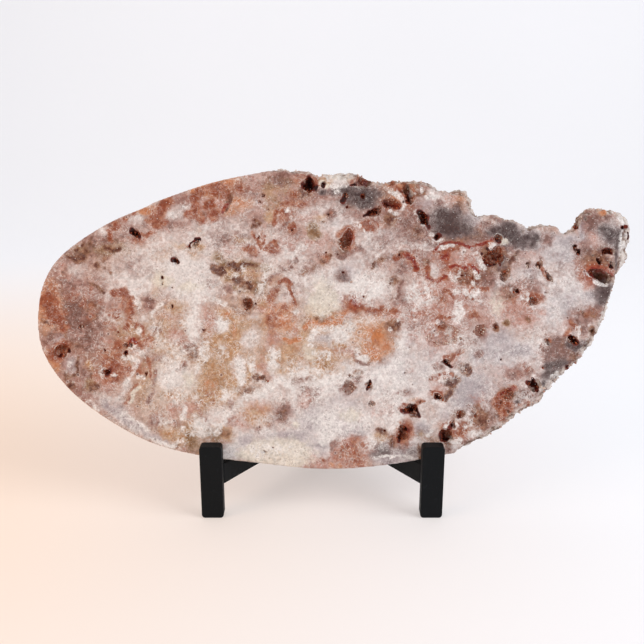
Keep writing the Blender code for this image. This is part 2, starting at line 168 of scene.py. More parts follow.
# The stains of the cut face, as rows of Patch. The turn is anticlockwise in degrees.
PATCHES: dict[Stain, tuple] = {
    Stain.ROSE: (
        (138, 72, 29.6, 13.4, 10, 0.8), (-169, 87, 40.4, 94, 0, 0.8), (-146, 52, 47, 40.4, -40, 0.6),
        (-142, 114, 47, 47, 20, 0.5), (-89, 176, 107.6, 31, 18, 0.6), (-15, 184, 80.6, 29.6, -4, 0.55),
        (42, 161, 60.4, 40.4, -20, 0.5), (99, 127, 87.4, 60.4, -10, 0.55), (183, 134, 36.2, 87.4, 10, 0.55),
        (146, 47, 80.6, 40.4, 35, 0.5), (-176, 114, 40.4, 60.4, 0, 0.7), (-163, 80, 40.4, 40.4, 0, 0.6),
        (79, 154, 74, 33.6, -10, 0.6), (160, 114, 40.4, 40.4, 0, 0.4), (39, 181, 60.4, 26.8, -6, 0.5),
        (-65, 191, 40.4, 17.4, 15, 0.5), (-22, 192, 47, 20.2, 0, 0.5), (56, 192, 33.6, 17.4, -20, 0.45),
        (19, 162, 40.4, 26.8, 0, 0.4), (170, 157, 26.8, 24.2, 0, 0.35), (66, 181, 60.4, 20.2, -10, 0.45),
        (-156, 97, 47, 40.4, 0, 0.8), (-48, 178, 40.4, 26.8, -20, 0.5), (59, 181, 40.4, 26.8, 0, 0.5),
        (140, 127, 40.4, 26.8, 0, 0.5), (5, 173, 174.8, 33.6, -4, 0.38), (-82, 178, 60.4, 33.6, -25, 0.5),
        (99, 140, 74, 33.6, 0, 0.7), (-7, 142, 26.8, 20.2, 0, 0.6), (79, 107, 60.4, 40.4, 0, 0.6),
        (-138, 80, 33.6, 33.6, 0, 0.7), (-102, 94, 80.6, 40.4, 0, 0.5),
    ),
    Stain.SAND: (
        (-89, 55, 80.6, 60.4, -20, 0.7), (-55, 87, 53.8, 60.4, 0, 0.55), (9, 87, 60.4, 40.4, 0, 0.5),
        (-109, 127, 33.6, 40.4, 0, 0.4), (-15, 114, 40.4, 26.8, 0, 0.35), (0, 76, 35, 21.6, 0, 0.6),
        (-102, 86, 87.4, 47, 0, 0.6), (-16, 92, 6.8, 13.4, 0, 0.8),
    ),
    Stain.MILK: (
        (-165, 134, 14.8, 13.4, 0, 0.5), (-126, 131, 33.6, 29.6, 0, 0.8), (-144, 117, 5.4, 10.8, -20, 0.6),
        (-120, 102, 9.4, 8, 0, 0.6), (-121, 79, 12, 8, 0, 0.7), (-144, 48, 20.2, 8, -15, 0.6),
        (-132, 37, 33.6, 14.8, -25, 0.4), (-92, 131, 47, 33.6, 0, 0.9), (-86, 97, 8, 33.6, 0, 0.9),
        (-68, 97, 9.4, 10.8, 0, 1), (-48, 88, 13.4, 13.4, 0, 0.9), (-46, 103, 9.4, 8, 0, 0.5),
        (-56, 68, 9.4, 14.8, 0, 0.9), (-44, 48, 24.2, 8, 10, 0.9), (-97, 63, 22.8, 17.4, 0, 0.95),
        (15, 124, 53.8, 33.6, 10, 0.95), (-15, 126, 20.2, 20.2, 0, 0.7), (-22, 144, 26.8, 6.8, 0, 0.6),
        (-25, 115, 8, 5.4, 0, 0.8), (5, 90, 26.8, 13.4, 0, 0.6), (-34, 72, 8, 16.2, 0, 0.9),
        (29, 66, 40.4, 13.4, 0, 1), (-15, 62, 47, 13.4, 0, 0.9), (5, 37, 33.6, 26.8, 0, 0.7),
        (75, 134, 5.4, 9.4, 0, 1), (116, 105, 13.4, 16.2, 0, 0.7), (58, 90, 17.4, 16.2, 0, 0.9),
        (79, 67, 80.6, 47, 0, 0.7), (157, 114, 53.8, 53.8, 0, 0.9), (140, 131, 20.2, 13.4, 0, 0.6),
        (140, 79, 40.4, 16.2, 0, 0.8), (165, 64, 9.4, 5.4, 30, 0.8), (74, 184, 20.2, 9.4, 0, 0.6),
        (52, 154, 20.2, 13.4, 0, 0.5), (71, 151, 16.2, 5.4, 0, 0.9), (164, 149, 36.2, 17.4, 0, 1),
        (-8, 173, 40.4, 14.8, 0, 0.6), (9, 166, 33.6, 20.2, 0, 0.7), (-22, 148, 33.6, 14.8, 0, 0.7),
        (36, 154, 33.6, 22.8, 0, 0.8), (-8, 149, 20.2, 13.4, 0, 0.5), (-75, 154, 80.6, 22.8, 0, 0.7),
        (-95, 172, 16.2, 9.4, 0, 0.9), (-69, 164, 33.6, 6.8, 0, 0.6), (-48, 178, 16.2, 10.8, 0, 0.4),
        (-112, 151, 13.4, 13.4, 0, 0.5), (-147, 160, 8, 6.8, 0, 0.7), (-125, 168, 8, 5.4, 0, 0.9),
        (-122, 146, 20.2, 10.8, 0, 0.6), (62, 19, 12, 12, 0, 0.8), (90, 17, 12, 8, 0, 0.7),
        (-1, 20, 40.4, 20.2, 0, 1), (-35, 24, 9.4, 10.8, 0, 1), (-71, 35, 13.4, 13.4, 0, 1),
        (-55, 19, 20.2, 10.8, 0, 1), (-62, 10, 14.8, 9.4, 0, 1), (-15, 47, 60.4, 33.6, 10, 0.4),
        (52, 66, 40.4, 33.6, 0, 0.6), (-62, 30, 33.6, 20.2, 0, 0.5), (15, 80, 33.6, 26.8, 0, 0.4),
        (133, 52, 26.8, 20.2, 0, 0.4), (82, 90, 22.8, 14.8, 15, 0.9), (26, 37, 60.4, 29.6, 0, 0.7),
        (5, 57, 40.4, 20.2, 0, 0.6), (83, 47, 87.4, 29.6, -14, 0.7), (120, 80, 40.4, 33.6, 0, 0.6),
        (150, 57, 26.8, 17.4, -45, 0.6), (-48, 23, 33.6, 20.2, 0, 0.45), (-28, 33, 80.6, 26.8, 0, 0.5),
        (119, 121, 12, 22.8, 0, 0.8), (11, 195, 26.8, 10.8, 0, 0.8), (204, 154, 8, 29.6, 0, 1),
        (52, 64, 215, 33.6, 0, 0.4), (146, 66, 47, 26.8, -30, 0.5), (-22, 64, 53.8, 26.8, 0, 0.5),
        (51, 66, 21.6, 20.2, 0, 1), (48, 33, 17.4, 17.4, 0, 0.8), (204, 171, 8, 9.4, 0, 0.8),
        (19, 20, 80.6, 20.2, 0, 0.5), (9, 31, 40.4, 17.4, 0, 0.9), (69, 33, 16.2, 12, 0, 0.7),
    ),
    Stain.GREY: (
        (-169, 70, 12, 10.8, 0, 0.7), (-136, 41, 13.4, 8, -30, 0.5), (17, 133, 14.8, 13.4, 0, 0.6),
        (0, 88, 12, 9.4, 0, 0.6), (-8, 33, 17.4, 20.2, 0, 0.6), (19, 44, 20.2, 8, 0, 0.4),
        (60, 86, 10.8, 6.8, 0, 0.5), (120, 88, 17.4, 13.4, 0, 0.7), (101, 52, 26.8, 22.8, 0, 0.9),
        (116, 80, 24.2, 16.2, 0, 0.6), (71, 79, 13.4, 12, 0, 0.4), (66, 27, 12, 9.4, 0, 0.8),
        (85, 37, 14.8, 9.4, 0, 0.5), (157, 109, 33.6, 26.8, 0, 0.45), (170, 114, 22.8, 20.2, 0, 0.5),
        (181, 118, 9.4, 8, 0, 0.7), (133, 80, 22.8, 9.4, 0, 0.7), (70, 178, 12, 9.4, 0, 0.5),
        (100, 168, 12, 9.4, 0, 0.85), (165, 154, 20.2, 8, 0, 0.8), (177, 162, 6.8, 14.8, 0, 1),
        (15, 166, 16.2, 8, 0, 0.4), (44, 157, 9.4, 10.8, 0, 0.5), (69, 25, 16.2, 9.4, 0, 0.6),
        (51, 6, 17.4, 5.4, 0, 0.8), (-23, 23, 22.8, 6.8, 0, 0.8), (0, 10, 8, 8, 0, 0.5),
        (20, 24, 16.2, 5.4, 0, 0.8), (42, 6, 16.2, 5.4, 0, 0.8), (-51, 19, 10.8, 6.8, 0, 0.6),
        (52, 66, 100.8, 40.4, 0, 0.4), (106, 74, 60.4, 47, 0, 0.4), (12, 47, 60.4, 26.8, 0, 0.35),
        (134, 157, 29.6, 18.8, 0, 0.6), (168, 142, 22.8, 16.2, 0, 0.6), (194, 158, 21.6, 17.4, 0, 0.7),
        (150, 149, 33.6, 20.2, 0, 0.5), (139, 136, 18.8, 16.2, 0, 0.5), (-1, 16, 20.2, 8, 0, 0.5),
        (15, 30, 33.6, 16.2, 0, 0.4), (-15, 19, 40.4, 9.4, 0, 0.4), (-44, 20, 20.2, 8, 0, 0.4),
        (48, 13, 31, 12, 0, 1), (12, 28, 40.4, 10.8, 0, 0.5), (-181, 92, 20.2, 10.8, 0, 0.9),
    ),
    Stain.MAUVE: (
        (-183, 91, 16.2, 12, 0, 0.65), (-177, 125, 12, 8, 0, 0.55), (-181, 134, 8, 10.8, -30, 0.45),
        (-167, 86, 12, 9.4, 0, 0.7), (-116, 111, 9.4, 9.4, 0, 0.8), (-185, 86, 9.4, 8, 0, 0.6),
        (-160, 64, 6.8, 8, 0, 0.6), (-164, 56, 9.4, 9.4, 0, 0.45), (-141, 56, 14.8, 6.8, 0, 0.5),
        (-114, 74, 6.8, 8, 0, 0.5), (-112, 95, 10.8, 6.8, 20, 0.5), (-52, 133, 24.2, 9.4, 0, 0.5),
        (-63, 121, 10.8, 6.8, 0, 0.6), (-74, 125, 6.8, 8, 0, 0.5), (-50, 111, 13.4, 13.4, 0, 0.5),
        (-90, 82, 16.2, 10.8, -20, 0.7), (-109, 75, 8, 9.4, 0, 0.5), (-62, 45, 6, 9.4, 0, 0.6),
        (-34, 33, 6.8, 8, 0, 0.7), (-98, 31, 10.8, 8, 0, 0.5), (-112, 33, 8, 9.4, 0, 0.75),
        (-60, 32, 6.8, 5.4, 0, 0.75), (-9, 135, 13.4, 8, 30, 0.5), (46, 91, 9.4, 18.8, 0, 0.8),
        (38, 138, 20.2, 10.8, 30, 0.5), (13, 144, 8, 4, 0, 0.8), (39, 74, 9.4, 6.8, 0, 0.5),
        (-26, 38, 8.8, 12, -20, 0.95), (17, 56, 9.4, 9.4, 0, 0.7), (22, 60, 10.8, 8, 45, 0.6),
        (55, 135, 12, 8, 0, 0.6), (71, 140, 9.4, 8, 0, 0.5), (109, 129, 12, 10.8, 0, 0.9),
        (55, 113, 9.4, 8, 0, 0.5), (62, 100, 12, 13.4, 0, 0.85), (58, 99, 10.8, 16.2, 0, 0.5),
        (91, 90, 9.4, 9.4, 0, 0.7), (85, 85, 22.8, 6.8, 0, 0.5), (95, 99, 9.4, 9.4, 0, 0.5),
        (99, 85, 14.8, 5.4, 0, 0.6), (56, 51, 7.4, 4.8, 0, 0.9), (89, 70, 6, 5.4, 0, 0.7),
        (78, 69, 6.8, 4.8, 0, 0.9), (106, 78, 5.4, 4.8, 0, 0.8), (112, 34, 10.8, 9.4, 0, 0.6),
        (116, 45, 17.4, 8, 30, 0.6), (171, 98, 12, 10.8, 0, 0.7), (177, 105, 17.4, 9.4, 0, 0.7),
        (183, 105, 14.8, 8, 20, 0.8), (176, 93, 6, 9.4, 0, 0.75), (172, 132, 10.8, 6.8, 0, 0.5),
        (159, 82, 18.8, 10.8, 0, 0.9), (128, 64, 8, 8, 0, 0.8), (136, 50, 12, 9.4, 0, 0.85),
        (144, 48, 8, 5.4, 0, 0.85), (62, 191, 13.4, 8, 0, 0.9), (66, 184, 10.8, 6.8, 0, 0.5),
        (56, 165, 12, 12, 0, 0.6), (79, 178, 8, 8, 0, 0.7), (109, 158, 21.6, 8, 0, 0.85),
        (110, 165, 8, 5.4, 0, 0.7), (151, 154, 9.4, 9.4, 0, 0.7), (128, 142, 9.4, 6.8, 0, 0.6),
        (185, 170, 18.8, 8, 0, 0.9), (181, 163, 8, 10.8, 0, 0.9), (-28, 194, 16.2, 10.8, 0, 1),
        (-23, 165, 12, 8, 0, 0.6), (6, 172, 6.8, 6.8, 0, 0.9), (25, 148, 9.4, 5.4, 0, 0.6),
        (24, 172, 8, 6, 0, 0.7), (-99, 166, 16.2, 6.8, 0, 0.5), (-99, 162, 22.8, 5.4, 0, 0.45),
        (-95, 181, 17.4, 4, 20, 0.4), (-44, 166, 6.8, 6.8, 0, 0.8), (-46, 144, 9.4, 4, 0, 0.6),
        (-144, 154, 33.6, 9.4, 20, 0.6), (-156, 152, 16.2, 9.4, 0, 0.7), (-167, 142, 13.4, 6.8, 0, 0.7),
        (-175, 142, 6.8, 5.4, 0, 0.5), (-140, 165, 9.4, 5.4, 20, 0.7), (-130, 164, 9.4, 9.4, 0, 0.4),
        (-118, 162, 8, 8, 0, 0.4), (48, 20, 9.4, 8, 0, 0.8), (55, 15, 9.4, 5.4, 0, 0.7),
        (97, 19, 9.4, 5.4, 0, 0.7), (85, 13, 5.4, 5.4, 0, 0.6), (110, 26, 9.4, 6.8, 0, 0.8),
        (9, 15, 6.8, 12, 0, 0.9), (-42, 27, 5.4, 5.4, 0, 0.6), (-172, 102, 26.8, 20.2, 0, 0.6),
        (-161, 107, 26.8, 26.8, 10, 0.8), (-152, 99, 17.4, 18.8, 0, 0.5), (73, 157, 26.8, 14.8, -10, 0.45),
        (52, 166, 26.8, 14.8, -20, 0.4), (-157, 88, 22.8, 17.4, 0, 0.7), (79, 148, 26.8, 20.2, 0, 0.3),
        (110, 126, 12, 13.4, 0, 0.7), (106, 92, 10.8, 8, 30, 0.6), (125, 115, 14.8, 14.8, 0, 0.9),
        (-9, 51, 10.8, 10.8, 0, 0.8), (161, 79, 24.2, 16.2, 0, 0.9), (154, 84, 10.8, 14.8, 10, 0.8),
        (123, 43, 17.4, 17.4, 0, 0.6), (109, 36, 20.2, 16.2, 20, 0.5), (181, 140, 20.2, 13.4, 0, 0.9),
        (-165, 118, 26.8, 17.4, 10, 0.6), (-15, 178, 33.6, 22.8, 0, 0.4), (59, 171, 33.6, 20.2, 0, 0.4),
        (99, 154, 40.4, 20.2, 0, 0.4), (66, 154, 33.6, 20.2, 0, 0.35), (150, 124, 26.8, 20.2, 0, 0.3),
        (14, 130, 8, 8, 0, 0.7), (97, 129, 14.8, 8.8, -8, 1), (44, 187, 10.8, 9.4, 0, 0.7),
        (16, 147, 8.8, 7.4, 0, 0.9), (180, 148, 17.4, 10.8, 0, 0.9), (-79, 171, 33.6, 14.8, -20, 0.5),
        (17, 171, 17.4, 14.8, 0, 0.4), (-62, 154, 33.6, 16.2, 0, 0.5), (42, 154, 29.6, 14.8, 0, 0.5),
        (-129, 137, 29.6, 14.8, -10, 0.4), (-175, 70, 16.2, 13.4, 0, 0.5), (139, 66, 16.2, 14.8, 0, 0.6),
        (157, 136, 17.4, 14.8, 0, 0.35), (139, 119, 17.4, 16.2, 0, 0.7), (104, 119, 16.2, 14.8, 0, 0.5),
        (-3, 144, 18.8, 8, -25, 0.5), (139, 136, 17.4, 13.4, 0, 0.35), (43, 140, 33.6, 13.4, 0, 0.4),
        (131, 121, 13.4, 10.8, 0, 0.8), (-169, 109, 14.8, 29.6, 0, 0.7), (-181, 94, 20.2, 10.8, 0, 0.6),
        (-17, 119, 13.4, 14.8, 0, 0.5), (125, 150, 9.4, 9.4, 0, 0.7), (69, 103, 16.2, 13.4, 0, 0.6),
        (138, 102, 14.8, 13.4, 0, 0.5), (-52, 188, 14.8, 9.4, -15, 0.6), (-17, 154, 14.8, 13.4, 0, 0.6),
    ),
    Stain.PINK: (
        (-160, 118, 12, 8, 0, 0.5), (-144, 86, 13.4, 9.4, 0, 0.5), (-145, 58, 17.4, 8, 0, 0.7),
        (-102, 106, 14.8, 12, -20, 0.5), (-97, 90, 12, 10.8, 0, 0.6), (-77, 102, 10.8, 22.8, 10, 0.6),
        (-40, 110, 6.8, 8, 0, 0.8), (-33, 90, 6.8, 12, 0, 0.7), (-39, 74, 6.8, 14.8, 0, 0.6),
        (-43, 39, 16.2, 12, 0, 0.75), (-101, 41, 14.8, 13.4, 0, 0.6), (-90, 40, 10.8, 13.4, 0, 0.65),
        (-22, 101, 12, 12, 0, 0.65), (-32, 88, 9.4, 12, 0, 0.7), (-19, 92, 9.4, 10.8, 0, 0.6),
        (34, 111, 13.4, 6.8, 0, 0.4), (-34, 83, 10.8, 9.4, 0, 0.6), (-17, 80, 8, 9.4, 0, 0.5),
        (13, 79, 16.2, 9.4, 0, 0.6), (-11, 49, 9.4, 6.8, 20, 0.6), (-13, 44, 6.8, 5.4, 0, 0.6),
        (39, 39, 20.2, 16.2, 0, 0.35), (85, 131, 13.4, 20.2, 0, 0.6), (51, 103, 16.2, 13.4, 0, 0.6),
        (83, 115, 12, 13.4, 0, 0.7), (79, 91, 29.6, 20.2, 0, 0.7), (98, 108, 12, 9.4, 0, 0.6),
        (60, 68, 8, 9.4, 0, 0.4), (86, 74, 12, 10.8, 0, 0.5), (78, 53, 18.8, 17.4, 15, 0.5),
        (118, 64, 20.2, 13.4, 0, 0.35), (109, 47, 14.8, 9.4, 0, 0.5), (140, 142, 20.2, 6.8, 0, 0.4),
        (149, 106, 6.8, 6.8, 0, 0.5), (142, 94, 22.8, 10.8, 0, 0.35), (163, 98, 12, 9.4, 0, 0.4),
        (180, 123, 10.8, 6.8, 0, 0.6), (148, 46, 9.4, 4, 0, 0.6), (87, 181, 8, 10.8, 0, 0.8),
        (52, 149, 10.8, 5.4, 0, 0.4), (138, 145, 17.4, 8, 0, 0.4), (183, 174, 9.4, 4, 0, 0.5),
        (198, 172, 8, 5.4, 0, 0.7), (184, 154, 10.8, 10.8, 0, 0.6), (-11, 169, 26.8, 13.4, 0, 0.4),
        (-99, 159, 20.2, 9.4, 0, 0.3), (-73, 178, 20.2, 9.4, 0, 0.8), (-59, 196, 9.4, 5.4, 0, 0.7),
        (-47, 196, 12, 5.4, 0, 0.5), (-62, 148, 8, 6.8, 0, 0.5), (94, 23, 16.2, 5.4, 0, 0.7),
        (-7, 4, 13.4, 8, 0, 0.7), (4, 2, 40.4, 5.4, 0, 0.8), (22, 14, 20.2, 13.4, 0, 1),
        (16, 6, 24.2, 9.4, 0, 0.95), (39, 33, 20.2, 13.4, 0, 0.35), (-90, 12, 13.4, 5.4, 0, 0.6),
        (-66, 19, 9.4, 3.4, 0, 0.7), (-51, 33, 9.4, 9.4, 0, 0.8), (-58, 33, 26.8, 13.4, 0, 0.4),
        (128, 109, 22.8, 17.4, 0, 0.8), (136, 103, 16.2, 14.8, 0, 0.7), (90, 142, 20.2, 10.8, 0, 0.6),
        (83, 121, 20.2, 13.4, 0, 0.6), (-9, 154, 33.6, 14.8, 0, 0.5), (99, 144, 22.8, 12, 0, 0.6),
        (73, 123, 20.2, 13.4, 0, 0.5), (113, 103, 20.2, 16.2, 0, 0.5), (73, 111, 29.6, 13.4, -40, 0.8),
        (99, 106, 20.2, 13.4, 0, 0.6), (177, 135, 13.4, 16.2, 0, 0.6), (136, 103, 17.4, 14.8, 0, 0.6),
        (131, 111, 24.2, 18.8, 0, 0.8), (102, 121, 17.4, 9.4, 0, 0.7),
    ),
    Stain.OCHRE: (
        (-112, 121, 5.4, 8, 0, 0.5), (-108, 126, 8, 9.4, 0, 0.55), (-99, 109, 14.8, 8, 10, 0.75),
        (-106, 99, 8, 9.4, 0, 0.35), (-52, 96, 9.4, 9.4, 0, 0.5), (-48, 133, 17.4, 9.4, 0, 0.6),
        (-73, 72, 17.4, 6.8, 0, 0.7), (-71, 59, 21.6, 18.8, 0, 0.85), (-75, 49, 14.8, 13.4, 0, 0.7),
        (-99, 49, 17.4, 9.4, 0, 0.45), (-12, 90, 8, 16.2, 0, 0.5), (34, 91, 22.8, 20.2, 0, 0.6),
        (-22, 75, 14.8, 22.8, 0, 0.6), (-26, 67, 8, 6.8, 0, 0.5), (-1, 72, 26.8, 17.4, 0, 0.75),
        (15, 75, 10.8, 6.8, 0, 0.5), (-26, 188, 20.2, 12, 0, 0.4), (-27, 177, 18.8, 6.8, 0, 0.5),
        (-34, 170, 8, 9.4, 0, 0.5), (0, 169, 8, 5.4, 0, 0.5), (1, 193, 9.4, 5.4, 0, 0.9),
        (-36, 184, 8, 16.2, 0, 0.45), (-36, 171, 5.4, 8, 0, 0.5), (-55, 154, 13.4, 5.4, 0, 0.4),
        (-83, 150, 6.8, 4, 0, 0.7), (-84, 159, 6.8, 8, 0, 0.4), (-95, 150, 16.2, 6.8, 0, 0.45),
        (-86, 145, 10.8, 8, 0, 0.4), (-106, 144, 13.4, 6.8, 0, 0.45), (40, 21, 9.4, 6.8, 0, 0.7),
        (-103, 23, 13.4, 9.4, 0, 0.5), (-101, 23, 14.8, 8, 0, 0.6), (-86, 15, 9.4, 9.4, 0, 0.4),
        (-89, 23, 12, 13.4, 0, 0.5), (-66, 24, 12, 9.4, -20, 0.7), (-44, 37, 16.2, 12, 0, 0.7),
        (-59, 133, 17.4, 13.4, 0, 0.6), (-40, 112, 6.8, 6.8, 0, 0.6), (-1, 101, 17.4, 13.4, 0, 0.8),
        (-1, 102, 18.8, 14.8, 0, 0.7), (-36, 76, 20.2, 26.8, 0, 0.4),
    ),
    Stain.OLIVE: (
        (-155, 57, 8, 6.8, 0, 0.7), (-78, 71, 5.4, 6.8, 0, 0.5), (4, 72, 6.8, 9.4, -20, 0.4),
        (-31, 181, 8, 8, 0, 0.4), (-6, 160, 6.8, 9.4, -30, 0.7), (-35, 191, 8, 9.4, 0, 0.4),
        (-71, 143, 9.4, 6.8, 0, 0.6), (-146, 148, 36.2, 10.8, 4, 0.45), (-163, 149, 9.4, 5.4, 0, 0.5),
        (-142, 146, 12, 6.8, 0, 0.5), (67, 24, 9.4, 6.8, 0, 0.5), (-88, 20, 12, 16.2, 0, 0.6),
        (-73, 23, 14.8, 8, -10, 0.7), (-47, 123, 16.2, 9.4, 20, 0.6), (62, 192, 9.4, 5.4, 0, 0.5),
        (-8, 162, 6.8, 5.4, 0, 0.8), (-5, 158, 8, 6, 0, 0.9), (-9, 99, 8, 6.8, 0, 0.7),
    ),
    Stain.ORANGE: (
        (-65, 105, 9.4, 6.8, -20, 0.55), (-30, 102, 17.4, 13.4, 0, 0.7), (35, 90, 21.6, 21.6, 10, 0.85),
        (35, 80, 12, 12, 0, 0.8), (43, 83, 9.4, 10.8, 0, 0.75), (62, 47, 8, 4, 0, 0.5),
        (169, 68, 5.4, 4.8, 0, 0.9), (47, 182, 10.8, 4, 0, 0.9), (93, 182, 14.8, 13.4, 0, 0.4),
        (189, 174, 4.8, 5.4, 0, 1), (-116, 176, 10.8, 5.4, 0, 0.7), (-73, 189, 21.6, 9.4, 10, 1),
        (-62, 173, 8, 5.4, 0, 0.6), (-55, 179, 12, 8, 0, 0.8), (-120, 174, 10.8, 4.8, 0, 0.7),
        (-40, 39, 13.4, 12, 0, 0.35), (-185, 110, 14.8, 26.8, -4, 0.9), (-26, 99, 17.4, 12, 0, 0.7),
        (-4, 96, 14.8, 5.4, 0, 0.6), (-184, 111, 14.8, 22.8, 0, 0.6), (-26, 108, 16.2, 8, 0, 0.7),
        (50, 191, 22.8, 12, 0, 0.6),
    ),
    Stain.BROWN: (
        (-175, 133, 8, 8, 0, 0.45), (-165, 84, 8, 6.8, 0, 0.4), (-152, 55, 9.4, 6.8, 0, 0.6),
        (-50, 111, 8, 9.4, 0, 0.7), (-87, 79, 8, 8, 0, 0.7), (-50, 53, 10.8, 6.8, 0, 0.55),
        (-66, 25, 12, 4, -15, 0.5), (47, 127, 8, 5.4, 0, 0.9), (-26, 37, 5.4, 8, -20, 0.6),
        (42, 26, 4.8, 5.4, 0, 0.8), (71, 139, 6, 5.4, 0, 0.7), (116, 141, 14.8, 13.4, 0, 0.9),
        (97, 129, 13.4, 7.4, -8, 1), (48, 97, 8.8, 8.8, 0, 0.8), (117, 95, 3.4, 5.4, 15, 0.9),
        (124, 133, 5.4, 6.8, 0, 0.8), (106, 35, 12, 14.8, 0, 0.75), (123, 37, 10.8, 8, 0, 0.9),
        (92, 37, 9.4, 6, 0, 0.7), (147, 139, 3.4, 4, 0, 0.95), (182, 93, 5.4, 6, 20, 0.95),
        (164, 83, 8, 8, 0, 0.4), (169, 76, 6, 6, 0, 0.85), (125, 51, 9.4, 6, 0, 1),
        (46, 168, 8.8, 8.8, 0, 0.85), (64, 160, 8, 6.8, 0, 0.5), (91, 176, 5.4, 5.4, 0, 1),
        (115, 145, 13.4, 8, 0, 1), (53, 145, 4.8, 5.4, 0, 0.9), (191, 148, 14.8, 5.4, 0, 0.5),
        (-12, 186, 8, 6, 0, 0.9), (15, 152, 7.4, 9.4, 0, 0.9), (66, 12, 4, 9.4, 0, 0.8),
        (85, 20, 5.4, 6.8, 0, 1), (48, 20, 5.4, 8, 0, 0.9), (28, 183, 21.6, 12, 0, 0.9),
        (187, 140, 20.2, 13.4, 0, 0.7), (126, 116, 12, 12, 0, 0.6), (87, 158, 22.8, 8, 0, 0.8),
        (90, 159, 26.8, 9.4, 0, 0.8), (-3, 102, 17.4, 5.4, 0, 0.5),
    ),
    Stain.RUST: (
        (-165, 117, 12, 8, 0, 0.45), (-134, 111, 10.8, 10.8, 0, 0.6), (-155, 105, 9.4, 10.8, 0, 0.5),
        (-130, 88, 10.8, 5.4, 0, 0.5), (-137, 84, 10.8, 8, 0, 0.7), (-117, 87, 9.4, 10.8, 0, 0.5),
        (-177, 82, 12, 8, 20, 0.9), (-174, 84, 6.8, 5.4, 0, 0.8), (-141, 78, 14.8, 9.4, 0, 0.5),
        (-137, 68, 12, 9.4, 0, 0.75), (-151, 64, 6.8, 8, 0, 0.55), (-33, 101, 6.8, 8, 0, 0.8),
        (-75, 47, 12, 9.4, 0, 0.5), (3, 142, 6.8, 8, 0, 0.5), (-32, 103, 10.8, 6.8, 0, 0.5),
        (-30, 98, 13.4, 9.4, 0, 0.5), (22, 112, 10.8, 10.8, 0, 1), (82, 140, 9.4, 14.8, 0, 0.55),
        (80, 96, 6, 3.4, -15, 1), (103, 104, 7.4, 4, -10, 0.8), (56, 27, 11.4, 11.4, 0, 0.95),
        (107, 39, 10.8, 9.4, 0, 0.35), (84, 27, 10.8, 6.8, -40, 0.7), (94, 28, 17.4, 9.4, 0, 0.8),
        (144, 114, 10.8, 6, 0, 0.8), (153, 87, 4, 3, 0, 1), (181, 135, 14.8, 8, 0, 0.6),
        (93, 151, 8, 4.8, 0, 0.6), (-15, 195, 9.4, 6.8, 0, 0.6), (-8, 193, 9.4, 9.4, 0, 1),
        (-19, 186, 8, 6.8, 0, 0.6), (-19, 179, 18.8, 5.4, 0, 0.65), (-25, 173, 10.8, 10.8, 0, 0.65),
        (-20, 162, 4, 6.8, 0, 0.9), (-33, 149, 8, 6.8, 0, 0.9), (6, 172, 5.4, 5.4, 0, 0.5),
        (15, 160, 9.4, 5.4, 20, 0.9), (32, 164, 13.4, 8, 0, 0.9), (39, 178, 14.8, 3.4, 25, 0.8),
        (-112, 169, 8, 10.8, 0, 0.9), (-106, 177, 6.8, 13.4, -25, 1), (-106, 166, 5.4, 4, 0, 0.6),
        (-69, 188, 10.8, 6.8, 0, 0.95), (-73, 172, 6.8, 9.4, 0, 1), (-86, 171, 9.4, 5.4, 0, 0.9),
        (-81, 170, 6.8, 8, 0, 0.7), (-54, 191, 5.4, 8, 0, 0.8), (-49, 190, 4, 5.4, 0, 0.5),
        (-50, 148, 12, 5.4, -20, 0.8), (-138, 166, 6.8, 5.4, 0, 0.8), (-124, 154, 9.4, 5.4, 0, 0.6),
        (55, 23, 12, 10.8, 0, 0.8), (87, 24, 12, 6.8, 0, 0.7), (1, 6, 4.8, 4, 0, 0.8),
        (23, 18, 8, 5.4, 0, 0.6), (24, 5, 6.8, 8, 0, 0.7), (-73, 21, 10.8, 5.4, 0, 0.5),
        (19, 152, 5.4, 8, 0, 0.9), (97, 129, 13.4, 8, -8, 0.4), (179, 105, 14.8, 8, 0, 0.4),
        (21, 112, 12, 12, 0, 1), (128, 115, 13.4, 10.8, 0, 0.4), (83, 144, 8, 10.8, 0, 0.7),
        (75, 140, 5.4, 10.8, 0, 0.5), (86, 133, 16.2, 6.8, 0, 0.4), (57, 186, 8, 12, 0, 1),
        (17, 158, 9.4, 8, 0, 1), (26, 194, 13.4, 6, 0, 1), (-123, 84, 16.2, 13.4, 0, 0.5),
        (-140, 66, 18.8, 14.8, 0, 0.9), (-123, 66, 16.2, 13.4, 0, 0.5), (139, 66, 13.4, 12, 0, 0.4),
        (142, 115, 13.4, 8, 0, 0.5), (99, 135, 20.2, 5.4, 0, 0.4), (78, 116, 16.2, 8, -45, 0.5),
        (73, 103, 17.4, 8, -30, 0.35), (102, 104, 10.8, 6.8, -30, 0.6), (179, 133, 12, 10.8, 0, 0.5),
        (20, 12, 18.8, 13.4, 0, 0.6), (187, 131, 17.4, 10.8, 0, 1), (-27, 109, 17.4, 9.4, 0, 0.5),
        (54, 177, 14.8, 9.4, 0, 0.5), (-73, 187, 16.2, 8, -20, 0.6), (-55, 187, 14.8, 9.4, 0, 0.4),
    ),
    Stain.RED: (
        (83, 143, 6, 6.8, 0, 0.8), (28, 193, 10, 4, 20, 0.7), (187, 131, 14.8, 8, -5, 1),
        (22, 112, 8, 8, 0, 0.7), (58, 183, 4.8, 6.8, 0, 0.8), (18, 158, 6, 5.4, 0, 0.8),
        (28, 194, 6.8, 4.8, 0, 0.7), (184, 134, 13.4, 5.4, 0, 0.6), (84, 144, 5.4, 6.8, 0, 0.6),
        (187, 130, 16.2, 9.4, 0, 1),
    ),
    Stain.CHARCOAL: (
        (120, 140, 8, 9.4, 0, 0.7), (155, 64, 14.8, 8, 20, 0.8), (131.5, 45.5, 6.8, 3.4, 0, 0.7),
